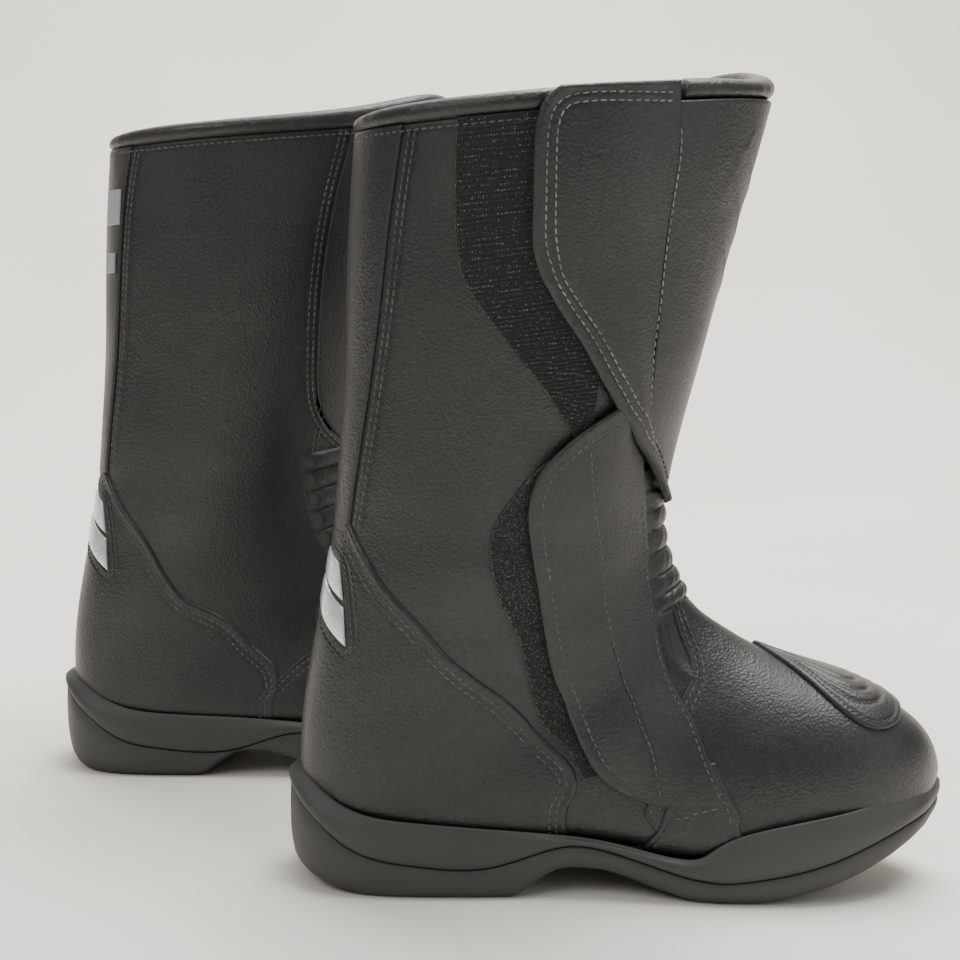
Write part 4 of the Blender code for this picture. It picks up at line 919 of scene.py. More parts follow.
def build_leg(looks):
    """The two big side panels, the shin panel and the back strip."""
    top = np.array([(0.0, -PI), (9.0, -PI)])
    front = np.vstack([zip_edge(-5.0, 0, 0.97), side_curve(((163, 86), (170, 62), (172, 30)), -1, 60)])
    front[0, 0] = 0
    back = curve(np.vstack([top, [(9.4, -2.75), (10.6, -2.5), (11.7, -foot_edge(11.7))]]), 400, True)
    inner = patch([back, curve(front[::12], 400)], 190, 70, 0.0, thick=1.6)
    publish("inner_panel", inner, "leather", nodes=["inner_panel"])

    front = np.vstack([moved(shin_outer_line(), -7)[:180:20], moved(flex_border(), 0)[30::20]])
    front[:, 0] = np.maximum(front[:, 0], 0)
    front[0, 0] = 0
    front = np.vstack([front, on_tube(((146, 100), (136, 70), (122, 50)), 1), [(11.1, foot_edge(11.1))]])
    back = np.vstack([[(0.0, PI), (8.95, PI)], [(9.4, 2.75), (10.5, foot_edge(10.5))]])
    outer = patch([curve(front, 400), curve(back, 400, True)], 190, 76, 0.0, thick=1.6)
    publish("outer_panel", outer, "leather", nodes=["outer_panel"])

    under = zip_edge(5.0, 0, 0.6)
    under[0, 0] = 0
    inner = shin_inner_line()
    centre = curve([(0, 0), (2.5, 0), (SHIN_END, 0)], 400)
    outer = shin_outer_line()
    marks = [curve([(s, math.radians(a)) for s, a in row], 80) for row in (
        ((0.75, -30), (1.15, -14), (1.4, -4)), ((1.15, -32), (1.6, -15), (1.85, -4)),
        ((1.6, -33), (2.05, -16), (2.35, -4)), ((0.55, -26), (1.4, -37), (2.3, -35)))]
    relief = [(line, 1.2, 0.45) for line in marks]
    front = patch([inner, (inner + centre) / 2, centre, (centre + outer) / 2, outer], 170, 96,
                  [3.3, 3.2, 2.8, 2.2, 1.4], thick=1.4, relief=relief,
                  places=[0, 0.16, 0.42, 0.7, 1])
    below = patch([under, moved(inner, 6)], 60, 12, [0.2, 1.4], thick=1.4)
    publish("shin_panel", merge(front, below), "leather", nodes=["shin_panel"])

    inner, outer = back_lines()
    sides = ((inner, 1), (outer, -1))
    fold = [(moved(line, side * 1.6), 1.3, 0.5) for line, side in sides]
    groove = [(moved(line, side * k), *GROOVE) for line, side in sides for k in (4.0, 6.6)]
    strip = patch([inner, outer], 170, 26, 1.5, thick=1.6, relief=fold + groove)
    publish("back_strip", strip, "leather", nodes=["back_strip"])


def build_flex(looks):
    """The ankle's padded rolls: a sheet that swells between narrow stitched valleys."""
    inner = side_curve(((149, 212), (150, 180), (153, 150), (158, 125), (164, 104), (169, 88),
                        (171, 78)), -1)
    start = FLEX_TOP - 0.4
    centre = curve([(start, 0), (6.4, 0), (FLEX_END + 0.3, 0)], 400)
    outer = moved(flex_border(), 4)
    beside, inside = (
        curve([(s, math.radians(turn)) for s, turn in row], 400)
        for row in (((start, 48), (6.4, 44), (8.0, 40)),
                    ((start, -34), (6.4, -30), (8.2, -25), (9.4, -28), (10.3, -40))))
    flap = side_curve(LOWER_FLAP_FRONT, -1)
    valleys = np.linspace(0, 1, looks.roll_count + 1) ** 1.12 * (7.8 - FLEX_TOP) + FLEX_TOP

    def rolls(s, turn, u, v):
        """Rolls between valleys that follow the sections; flat under the flap and below the ankle."""
        place = np.interp(s, valleys, np.arange(len(valleys)))
        share = place - np.floor(place)
        swell = np.clip(np.sin(PI * share), 0, 1) ** 0.45
        open_to = smooth((turn - np.interp(s, flap[:, 0], flap[:, 1])) / 0.16 + 0.1)
        fade = (open_to * smooth((1 - u) / 0.16) * smooth((8.05 - s) / 0.3)
                * smooth((s - FLEX_TOP + 0.1) / 0.15))
        ripple = 0.1 * np.sin(50 * turn + 9 * place) * swell
        pleat = 0.9 * np.exp(-((turn + 0.5 + 0.09 * (s - 8)) / 0.035) ** 2) * smooth((s - 7.9) / 0.5)
        return 0.2 + pleat + fade * (1.0 + looks.roll_height / MM * swell + ripple)

    sheet = patch([inner, inside, centre, beside, outer], 230, 130, 0.0, thick=1.0, shape=rolls)
    publish("flex_panel", sheet, "padded", nodes=["flex_panel"])


def build_foot(looks):
    """The vamp with its toe, the base of the closure, and the heel counter."""
    edge = vamp_edge()
    toe = np.stack([np.full(500, TOE_END), np.linspace(-2.9, 2.4, 500)], -1)
    middle = []
    for share in (0.3, 0.62, 0.86):
        line = edge * (1 - share) + toe * share
        reach = foot_edge(line[:, 0])
        span = (line[:, 1] - line[0, 1]) / (line[-1, 1] - line[0, 1])
        line[:, 1] = -reach[0] + span * (reach[0] + reach[-1])
        middle.append(line)
    groove = [(moved(edge, -k), 0.9, -0.4) for k in (3.0, 6.0)]
    vamp = patch([edge, *middle, toe], 230, 150, [1.0, 0.5, 0.4, 0.4, 0.4], thick=1.5,
                 places=[0, 0.3, 0.62, 0.86, 1], relief=groove)
    publish("vamp", vamp, "leather", nodes=["vamp"])

    rear = side_curve(QUARTER_REAR, -1, foot=11.9)
    front = side_curve(((187, 62), (193.6, 47.5), (198, 33.3), (200, 26)), -1, foot=12.8)
    base = patch([rear, moved(front, 2)], 60, 46, [1.9, 2.1], thick=1.6,
                 relief=[(moved(front, -1.5), *FINE_GROOVE), (moved(rear, 3), *FINE_GROOVE)])
    publish("quarter_panel", base, "flap", nodes=["quarter_panel"])

    top, bottom = counter_lines()
    fold = [(moved(top, 1.7), *TURNED)]
    groove = [(moved(top, k), *GROOVE) for k in (4.6, 7.6)]
    counter = patch([top, bottom], 260, 80, 1.0, thick=1.5, relief=fold + groove + frame_relief())
    publish("heel_counter", counter, "leather", nodes=["heel_counter"])


def reflector_corner(u, v):
    """Place on the heel for the reflector's own share across (-1 to 1) and down (0 to 1)."""
    across = np.abs(u)
    top = 4.98 + 0.16 * across ** 1.4
    bottom = 5.66 + 0.6 * across ** 1.1
    reach = np.radians(22 + 19 * np.asarray(v) ** 0.8)
    return np.stack(np.broadcast_arrays(top * (1 - v) + bottom * v, PI + reach * u), -1)


def reflector_frame(grow):
    """A line round the reflector, a few mm outside it."""
    lines = [reflector_corner(np.full(40, 1.0), np.linspace(0, 1, 40)),
             reflector_corner(np.linspace(1, -1, 80), np.ones(80)),
             reflector_corner(np.full(40, -1.0), np.linspace(1, 0, 40)),
             reflector_corner(np.linspace(-1, 1, 50), np.zeros(50))]
    loop = np.vstack(lines)
    centre = loop.mean(axis=0)
    _, along, round_it, _ = tube_frame(loop[:, 0], loop[:, 1])
    ds = grow * MM / np.linalg.norm(along, axis=1) * np.sign(loop[:, 0] - centre[0])
    dt = grow * MM / np.linalg.norm(round_it, axis=1) * np.sign(loop[:, 1] - centre[1])
    kind = np.concatenate([np.zeros(40), np.ones(80), np.zeros(40), np.ones(50)])
    loop = loop + np.stack([np.where(kind == 1, ds, 0), np.where(kind == 0, dt, 0)], -1)
    return evenly(np.vstack([loop, loop[:1]]), 300)


def frame_relief():
    """A low ridge and a groove round the reflector."""
    return [(reflector_frame(2.0), 1.2, 0.5), (reflector_frame(4.6), 0.8, -0.35)]


def build_trims(looks):
    """The heel's reflector in two parts, the small plate and knob on the back strip, the toe pad."""
    bands = []
    for low, high in ((0.0, 0.46), (0.54, 1.0)):
        rails = [reflector_corner(np.full(30, u), np.linspace(low, high, 30))
                 for u in np.linspace(-1, 1, 15)]
        bands.append(patch(rails, 24, 60, 1.9, thick=1.2, edge=0.9,
                           shape=lambda s, t, u, v: 0.5 * np.sqrt(np.clip(4 * v * (1 - v), 0, 1))))
    publish("heel_reflector", merge(*bands), "foil", nodes=["heel_reflector"])

    plates = []
    for s0, s1, low, high, lift in ((0.78, 1.28, 12, 27, 2.6), (1.62, 1.86, 15, 24, 3.0)):
        rails = [np.stack([np.linspace(s0, s1, 20), np.full(20, PI - math.radians(a))], -1)
                 for a in np.linspace(low, high, 4)]
        plates.append(patch(rails, 16, 16, lift, thick=1.3, edge=1.0,
                            relief=[(evenly(rails[1] * 0.5 + rails[2] * 0.5, 60), 1.2, -0.3)]))
    publish("back_tab", merge(*plates), "trim", nodes=["back_tab"])

    inner, outer = toe_pad_line(-1), toe_pad_line(1)
    channels = [(toe_pad_ring(k), 1.3, depth) for k, depth in ((0.68, -1.0), (0.5, -1.0), (0.33, -0.9))]
    channels.append((toe_pad_ring(0.92), 0.7, -0.5))

    def puff(s, turn, u, v):
        round_off = np.clip(4 * u * (1 - u), 0, 1) ** 0.5
        return 1.7 * round_off * np.clip(3.5 * v, 0, 1) ** 0.5 * np.clip(6 * (1 - v), 0, 1) ** 0.5

    pad = patch([inner, (2 * inner + outer) / 3, (inner + 2 * outer) / 3, outer], 150, 110, 2.0, thick=2.0,
                edge=1.4, relief=channels, shape=puff)
    publish("toe_pad", pad, "padded", nodes=["toe_pad"])


def toe_pad_line(side):
    """One long side of the toe pad, from its rear tip to its front middle."""
    half = np.array(TOE_PAD_HALF, float)
    line = np.stack([half[:, 0], TOE_PAD_MIDDLE + side * half[:, 1] * (1.0 if side < 0 else 0.85)], -1)
    return curve(line * (1, PI / 180), 120)


def toe_pad_ring(k):
    """A channel line inside the pad, open at the pad's rear like a long U."""
    start, stop = TOE_PAD_HALF[0][0], TOE_PAD_HALF[-1][0]
    sides = []
    for side in (-1, 1):
        line = toe_pad_line(side)
        along = (line[:, 0] - start) / (stop - start)
        middle = math.radians(TOE_PAD_MIDDLE)
        reach = 0.09 + (0.91 - 0.42 * (1 - k)) * along
        sides.append(np.stack([start + reach * (stop - start) - 0.09 * k * along,
                               middle + (line[:, 1] - middle) * k], -1)[8:])
    return evenly(np.vstack([sides[0], sides[1][::-1]]), 300)


def build_strips(looks):
    """The loop strips sewn on the boot, with their overcast rear edges."""
    rear, front = side_curve(LOOP_STRIP_REAR, -1, top=0), side_curve(LOOP_STRIP_FRONT, -1, top=0)

    def rows(s, turn, u, v):
        return 0.28 * np.sin(2 * PI * v * 78) * (u > 0.02) + 0.12 * np.sin(2 * PI * u * 22)

    strip = patch([rear, front], 420, 40, 1.5, thick=1.2, edge=0.7, shape=rows)
    publish("upper_loop_strip", strip, "knit", nodes=["upper_loop_strip"])

    rear, front = side_curve(ANKLE_STRIP_REAR, -1), side_curve(ANKLE_STRIP_FRONT, -1)

    def fuzz(s, turn, u, v):
        return 0.25 * np.sin(2 * PI * v * 61 + 9 * u) * np.sin(2 * PI * u * 23 + 17 * v)

    strip = patch([rear, front], 260, 60, 2.1, thick=1.8, edge=1.0, shape=fuzz)
    publish("lower_loop_strip", strip, "pile", nodes=["lower_loop_strip"])


def upper_flap_lift(u):
    """Height of the upper flap's skin from its stitched front edge (0) to its free rear edge (1)."""
    return 3.6 + 3.0 * smooth(u / 0.4) - 1.1 * smooth((u - 0.5) / 0.5)


def flap_border():
    """The upper flap's free border: along its top, round its corner and down its rear edge."""
    return side_curve(UPPER_FLAP_REAR, -1, 500, above=ABOVE_RIM)


def hinge(which):
    """Middle of a flap's sewn edge, and the direction round the boot towards its free edge."""
    line = side_curve(FOLD_LINE if which == "upper" else HINGE_LINE, -1, 101)
    s, turn = line[50]
    point, _, round_it, _ = tube_frame(s, turn)
    ends = tube(line[[0, -1], 0], line[[0, -1], 1])
    axis, away = unit(ends[1] - ends[0]), -unit(round_it)
    return point, unit(away - axis * (away @ axis))


def bend_points(which):
    """Two points across a flap's sewn edge, 2 mm before its middle and 13 mm beyond it towards its free edge.
    """
    point, away = hinge(which)
    return point - away * 2 * MM, point + away * 13 * MM


def flap_lines(which):
    """The front and rear line of a flap."""
    if which == "upper":
        front = side_curve(FLAP_FRONT, -1, above=ABOVE_RIM)
        rear = side_curve(UPPER_FLAP_REAR[3:], -1, above=ABOVE_RIM)
        return front, rear
    return side_curve(LOWER_FLAP_FRONT, -1, 400), side_curve(LOWER_FLAP_REAR, -1, 400)


def lower_flap_lift(u, v):
    """Height of the lower flap's skin; it comes down to the base panel at its sewn foot."""
    return 2.3 + 3.3 * smooth(u / 0.55) * (1 - smooth((v - 0.72) / 0.28))


def build_flaps(looks):
    """The two closing flaps with their turned edges and the hook patches behind them."""
    front, rear = flap_lines("upper")
    border = flap_border()
    bead = [(moved(border, 1.8, ABOVE_RIM), 1.6, 0.45)]
    grooves = [(moved(border, k, ABOVE_RIM), *GROOVE) for k in (5.2, 8.6)]
    grooves.append((side_curve(FOLD_LINE, -1)[30:-20], 0.9, -0.4))

    def rise(s, turn, u, v):
        return upper_flap_lift(u) + 0.5 * smooth((u - 0.8) / 0.2) * smooth(1 - v * 1.5)

    flap = patch([front, rear], 250, 84, 0.0, thick=1.7, edge=1.3, relief=bead + grooves,
                 closed=True, shape=rise)
    publish("upper_flap", flap, "flap", "upper_flap", ["upper_flap"],
            bend_points("upper"))

    front, rear = flap_lines("lower")
    bead = [(moved(rear, 1.6), 1.5, 0.4)]
    second = side_curve(LOWER_FLAP_LINE, -1)
    grooves = [(moved(rear, 5.8), *GROOVE), (second, 0.9, -0.5), (moved(front, -2.6), *FINE_GROOVE)]

    def rise(s, turn, u, v):
        return lower_flap_lift(u, v) + 0.5 * np.sin(3 * v + 1) * u * (1 - u)

    flap = patch([front, rear], 250, 90, 0.0, thick=1.7, edge=1.3, relief=bead + grooves,
                 closed=True, shape=rise)
    publish("lower_flap", flap, "flap", "lower_flap", ["lower_flap"],
            bend_points("lower"))

    for which, front, rear, cut in (("upper", LOOP_STRIP_FRONT, UPPER_FLAP_REAR, (0.16, 0.62)),
                                    ("lower", ANKLE_STRIP_FRONT, LOWER_FLAP_REAR, (0.3, 0.8))):
        rear_line = moved(side_curve(rear, -1, 400), 5)
        rear_line = rear_line[int(400 * cut[0]):int(400 * cut[1])]
        front_line = moved(side_curve(front, -1, 400), -2)[24:300 if which == "upper" else 330]
        hook = patch([rear_line, front_line], 90, 24, 3.4, thick=1.0, edge=0.6, closed=True)
        publish(f"{which}_flap_hook", hook, "pile", f"{which}_flap", [f"{which}_flap_hook"])


def flap_share(line, front, rear):
    """How far places of a line lie across a flap, from its front line (0) to its rear line (1)."""
    order = np.argsort(rear[:, 0])
    end = np.interp(line[:, 0], rear[order, 0], rear[order, 1])
    start = np.interp(line[:, 0], front[:, 0], front[:, 1])
    return np.clip((line[:, 1] - start) / (end - start), 0, 1)


def build_stitching(looks):
    """All thread that shows: on the boot in dark thread, on the flaps in grey."""
    pitch = looks.stitch_pitch / MM
    inner, outer = back_lines()
    counter, shin, border, edge = counter_lines()[0], shin_outer_line(), flex_border(), vamp_edge()
    rows = ((inner, (4.0, 6.6), 4, -8, 1.35), (outer, (-4.0, -6.6), 4, -8, 1.35),
            (counter, (4.6, 7.6), 4, -4, 0.75), (shin, (2.6, 5.4), 3, -6, 1.4),
            (border, (-2.2, -5.0), 4, -4, 0.25), (edge, (-3.0, -6.0), 14, -10, 0.75))
    dark = [stitches(moved(line, k)[start:stop], lift, pitch)
            for line, offsets, start, stop, lift in rows for k in offsets]
    dark += [stitches(reflector_frame(grow), 1.1, pitch * 0.9) for grow in (3.4, 6.0)]
    ring = np.stack([np.full(300, 0.12), np.linspace(0.0, 2 * PI - 1.15, 300)], -1)
    dark.append(stitches(ring[8:], 1.35, pitch))
    for k, lift in ((0.92, 2.6), (0.68, 2.75)):
        dark.append(stitches(toe_pad_ring(k)[20:-20], lift, pitch * 0.7, 1.7, 0.3, 0.26))
    front = side_curve(((189.6, 55.6), (193.6, 47.5), (198, 33.3)), -1)
    dark.append(stitches(moved(front, -1.5), 1.9, pitch))
    dark.append(stitches(moved(side_curve(((166, 39), (163.5, 32), (159.5, 26.5)), -1), 3), 1.9, pitch))
    dark.append(stitches(side_curve(((170, 38), (181, 41), (190, 43.5)), -1), 2.0, pitch))
    publish("boot_stitching", merge(*dark), "dark_thread")

    front, rear = flap_lines("upper")

    def on_flap(line, front=front, rear=rear):
        return upper_flap_lift(flap_share(line, front, rear)) - THREAD_SUNK

    border = flap_border()
    grey = [stitches(moved(border, k, ABOVE_RIM)[6:-14], on_flap, pitch) for k in (5.2, 8.6)]
    grey.append(stitches(side_curve(FOLD_LINE, -1)[30:-20], on_flap, pitch))
    publish("upper_flap_stitching", merge(*grey), "grey_thread", "upper_flap", bend=bend_points("upper"))

    front, rear = flap_lines("lower")
    second = side_curve(LOWER_FLAP_LINE, -1)

    def on_low(line):
        v = np.interp(line[:, 0], front[:, 0], np.linspace(0, 1, len(front)))
        return lower_flap_lift(flap_share(line, front, rear), v) - THREAD_SUNK

    grey = [stitches(moved(rear, 5.8)[16:-50], on_low, pitch), stitches(second[4:], on_low, pitch),
            stitches(moved(front, -2.6)[100:-8], on_low, pitch)]
    publish("lower_flap_stitching", merge(*grey), "dark_thread", "lower_flap", bend=bend_points("lower"))


def rim_frame(turn):
    """Rim points with the outward and upward directions there."""
    _, along, _, normal = tube_frame(np.zeros_like(turn), turn)
    return lifted(np.zeros_like(turn), turn, 0.0), normal, -unit(along)


def build_collar(looks):
    """The soft roll on the rim, from the closing flap's corner round the back to its fold.

    An oval profile is carried round the rim. It stands higher outside in front, puckers
    faintly between stitches, and narrows to nothing where its ends are tucked in.
    """
    start = on_tube([(122, 346)], -1)[0, 1]
    stop = on_tube([(161, 347)], -1)[0, 1]
    turn = np.linspace(start, stop - 2 * PI, 460)
    point, normal, up = rim_frame(turn)
    place = (turn + PI) % (2 * PI) - PI
    height = looks.collar_height / MM * (1 + 0.75 * np.exp(-((place - 0.55) / 0.55) ** 2)
                                         - 0.2 * np.exp(-((place + 0.5) / 0.4) ** 2)
                                         - 0.2 * np.exp(-((np.abs(place) - PI) / 0.5) ** 2))
    run = run_along(point) / MM
    from_end = np.minimum(run, run[-1] - run)
    close = np.sqrt(1 - (1 - np.clip(from_end / 3.0, 0, 1)) ** 2)
    close = np.maximum(close, 0.02)
    pucker = 1 + 0.02 * np.sin(2 * PI * run / 9.0) + 0.015 * np.sin(2 * PI * run / 23.0 + 1)
    angle = np.linspace(0, 2 * PI, 28, endpoint=False)
    out = np.sign(np.cos(angle)) * np.abs(np.cos(angle)) ** 0.85
    rise = np.sign(np.sin(angle)) * np.abs(np.sin(angle)) ** 0.9
    aside = (-3.2 + 5.4 * out[None] * close[:, None] * pucker[:, None]) * MM
    upward = (height[:, None] * (0.47 + 0.5 * rise[None] * close[:, None]) - 0.2) * MM
    roll = sweep(point, up, normal, np.stack([aside, upward], -1))
    publish("collar", outward(roll), "collar", nodes=["collar"])


def build_inside(looks):
    """The lining, the footbed, and the zip under the flaps."""
    s = np.concatenate([[0.0, 0.02, 0.06], np.linspace(0.15, 16.7, 130), [17.0, 17.2, 17.3]])
    turn = np.linspace(0, 2 * PI, 97)[:-1]
    grid_s, grid_t = np.meshgrid(s, turn, indexing="ij")
    lift = LINING_IN + 0.25 * np.sin(5 * grid_s) * np.sin(3 * grid_t)
    skin = lifted(grid_s, grid_t, lift * MM)
    up = rim_frame(turn)[2]
    skin[0] += up * 3.5 * MM
    skin[1] += up * 2.5 * MM
    skin[-1] = skin[-1].mean(axis=0) + (skin[-1] - skin[-1].mean(axis=0)) * 0.05
    faces = grid_faces(*grid_s.shape, 0, True)[:, ::-1]
    down = np.broadcast_to(s[:, None] * 0.03, grid_s.shape)
    uv = np.stack([np.broadcast_to(turn[None] * 0.05, grid_s.shape), down], -1).reshape(-1, 2)
    publish("lining", (skin.reshape(-1, 3), faces, uv), "lining", nodes=["lining"])

    s = np.linspace(9.75, 16.15, 60)
    reach = np.radians(np.interp(s, (9.75, 10.6, 11.4, 12.4, 15.2, 15.9, 16.15),
                                 (20, 38, 44, 46, 46, 36, 18)))
    rails = [np.stack([s, PI + reach * k], -1) for k in (1, 0.5, 0, -0.5, -1)]
    bed = patch(rails, 90, 40, -10.6, thick=3.6, edge=1.6, closed=True)
    publish("footbed", bed, "lining", nodes=["footbed"])

    inner, outer = zip_edge(-5.6), zip_edge(5.6)
    inner[0, 0] = outer[0, 0] = 0.02
    tape = patch([inner, outer], 120, 16, -0.9, thick=0.7, edge=0.5)
    publish("zip", merge(tape, zip_teeth()), "tape", nodes=["zip"])


def zip_teeth():
    """Two rows of small moulded teeth that mesh along the middle of the zip."""
    line = evenly(side_curve(ZIP_LINE, -1, 400), 400)
    track = lifted(line[:, 0], line[:, 1], -0.9 * MM)
    run = run_along(track)
    count = int(run[-1] / (1.9 * MM))
    want = (np.arange(count) + 0.5) * 1.9 * MM
    centre, places = along_line(want, run, track), along_line(want, run, line)
    normal = tube_frame(places[:, 0], places[:, 1])[3]
    ahead = unit(np.gradient(centre, axis=0))
    aside = np.cross(normal, ahead) * np.where(np.arange(count) % 2, 1, -1)[:, None]
    box = np.array([(a, b, c) for c, k in ((0.1, 1.0), (0.7, 1.0), (1.05, 0.7))
                    for a, b in ((-0.5 * k, -0.7), (1.0 * k + 1.4, -0.7), (1.0 * k + 1.4, 0.7),
                                 (-0.5 * k, 0.7))]) * MM
    a, b, c = (box[None, :, k, None] for k in range(3))
    points = centre[:, None] + aside[:, None] * a + ahead[:, None] * b + normal[:, None] * c
    one = np.vstack([grid_faces(3, 4, 0, True), [(3, 2, 1, 0), (8, 9, 10, 11)]])
    even = one[None] + (np.arange(count) * 12)[:, None, None]
    even[0::2] = even[0::2][:, :, ::-1]
    uv = np.tile(box[:, :2], (count, 1))
    return outward((points.reshape(-1, 3), even.reshape(-1, 4), uv))


def zip_frame():
    """Rest place of the slider, and its directions along, across and out of the zip."""
    line = side_curve(ZIP_LINE, -1, 400)
    points = lifted(line[:, 0], line[:, 1], 0.4 * MM)
    run = np.linalg.norm(points - points[0], axis=1)
    first, last = (int(np.argmin(np.abs(run - d * MM))) for d in (12, 70))
    ahead = unit(points[last] - points[first])
    normal = tube_frame(line[:, 0], line[:, 1])[3]
    up = unit(normal[first] - ahead * (normal[first] @ ahead))
    return points[first] + up * 0.9 * MM, ahead, np.cross(up, ahead), up


def rounded_block(origin, ahead, aside, up, size, power=4.0, waist=0.0):
    """A cushion-like block: a squared oval in plan and in section, narrowed at one end by waist."""
    lat, lon = np.linspace(-0.5 * PI, 0.5 * PI, 15), np.linspace(0, 2 * PI, 49)[:-1]
    lat, lon = np.meshgrid(lat, lon, indexing="ij")

    def rounded(value):
        return np.sign(value) * np.abs(value) ** (2 / power)

    x = rounded(np.cos(lon)) * np.abs(rounded(np.cos(lat)))
    y = rounded(np.sin(lon)) * np.abs(rounded(np.cos(lat))) * (1 - waist * (0.5 + 0.5 * x))
    z = rounded(np.sin(lat))
    points = origin + sum(v[..., None] * d * k * MM / 2 for v, d, k in
                          ((x, ahead, size[0]), (y, aside, size[1]), (z, up, size[2])))
    faces = grid_faces(*lat.shape, 0, True)
    uv = np.stack([x, y], -1).reshape(-1, 2) * 0.01
    return outward((points.reshape(-1, 3), faces, uv))


def build_zip(looks):
    """The zip's slider with its bridge, and the puller with its raised rim."""
    origin, ahead, aside, up = zip_frame()
    body = rounded_block(origin, ahead, aside, up, (11.0, 7.6, 1.5), 5.0, 0.25)
    bridge = rounded_block(origin + up * 0.75 * MM + ahead * 0.5 * MM, ahead, aside, up,
                           (7.0, 2.4, 1.3), 3.0)
    publish("zip_slider", merge(body, bridge), "metal", "zip_slider", ["zip_slider"])
    pin = origin + up * 1.85 * MM + ahead * 2 * MM
    middle = pin + ahead * 5 * MM
    tab = rounded_block(middle + ahead * 1.2 * MM, ahead, aside, up, (12.4, 4.9, 0.8), 6.0, 0.12)
    angle = np.linspace(0, 2 * PI, 97)[:-1]
    x, y = (np.sign(v) * np.abs(v) ** 0.55 for v in (np.cos(angle), np.sin(angle)))
    rim = middle[None] + ahead * (x * 7.2 * MM)[:, None] + aside * (y * 2.2 * MM)[:, None]
    rim = np.vstack([rim, rim[:1]])
    tangent = unit(np.gradient(rim, axis=0))
    out = np.cross(tangent, np.broadcast_to(up, tangent.shape))
    ring = np.linspace(0, 2 * PI, 13)[:-1]
    wire_section = np.stack([0.42 * MM * np.cos(ring), 0.48 * MM * np.sin(ring)], -1)
    profile = np.broadcast_to(wire_section, (97, 12, 2))
    wire = sweep(rim, np.broadcast_to(up, rim.shape), out, profile, cap=False)
    publish("zip_puller", merge(tab, outward(wire)), "metal", "zip_puller", ["zip_puller"])


# ---------------------------------------------------------------- sole

def sole_ring(count):
    """Outline of the sole with its groove and top heights, and the outward direction at each point."""
    inner, outer = np.array(SOLE_INNER, float), np.array(SOLE_OUTER, float)
    loop = np.vstack([inner, outer[::-1]])
    wide = np.vstack([loop, loop, loop])
    fine = natural_spline(wide, len(loop) + np.linspace(0, len(loop), 4 * count, endpoint=False))
    step = np.linalg.norm(np.diff(fine[:, :2], axis=0, append=fine[:1, :2]), axis=1)
    run = np.concatenate([[0], np.cumsum(step)])
    where = np.interp(np.arange(count) / count * run[-1], run, np.linspace(0, len(loop), 4 * count + 1))
    at = len(loop) + where
    ring = natural_spline(wide, at)
    ahead = natural_spline(wide, at + 0.05) - natural_spline(wide, at - 0.05)
    out = unit(np.stack([ahead[:, 1], -ahead[:, 0]], -1))
    if (out * (ring[:, :2] - ring[:, :2].mean(0))).sum() < 0:
        out = -out
    return ring, out


def underside(x, y):
    """Height of the underside in mm; the heel block's front edge slants across the boot."""
    lead = 0.3 * (y + 41) * np.clip((229 - x) / 61, 0, 1)
    line = np.array(SOLE_UNDERSIDE, float)
    knots, values = line[:, 0], line[:, 1]
    wide = np.stack([np.interp(x + lead + d, knots, values) for d in (-3, -1.5, 0, 1.5, 3)], -1)
    return np.maximum(wide.mean(-1), 0)


def sole_band(ring, out, steps):
    """Rings of points from (inset, height) steps round the outline."""
    rings = []
    for inset, height in steps:
        xy = ring[:, :2] - out * np.reshape(inset, (-1, 1))
        rings.append(np.column_stack([xy, np.broadcast_to(height, len(ring))]))
    return rings


def lofted(rings):
    """A skin through rings of matching points, each ring closed on itself."""
    points = np.stack(rings) * MM
    n, m = points.shape[:2]
    uv = np.stack(np.broadcast_arrays(np.arange(m)[None] * 0.002, np.arange(n)[:, None] * 0.002), -1)
    return points.reshape(-1, 3), grid_faces(n, m, 0, True), uv.reshape(-1, 2)


def toward_middle(ring, shares, height):
    """Rings that shrink from a ring to the boot's long axis."""
    rings = []
    centre = np.interp(ring[:, 0], (0, 145, 200, 305), (0.5, 3, 0.5, -8))
    x0, x1 = ring[:, 0].min(), ring[:, 0].max()
    for share in shares:
        x = ring[:, 0] + share * (np.clip(ring[:, 0], x0 + 22, x1 - 22) - ring[:, 0])
        y = centre + (ring[:, 1] - centre) * (1 - share)
        rings.append(np.column_stack([x, y, height(x, y)]))
    return rings


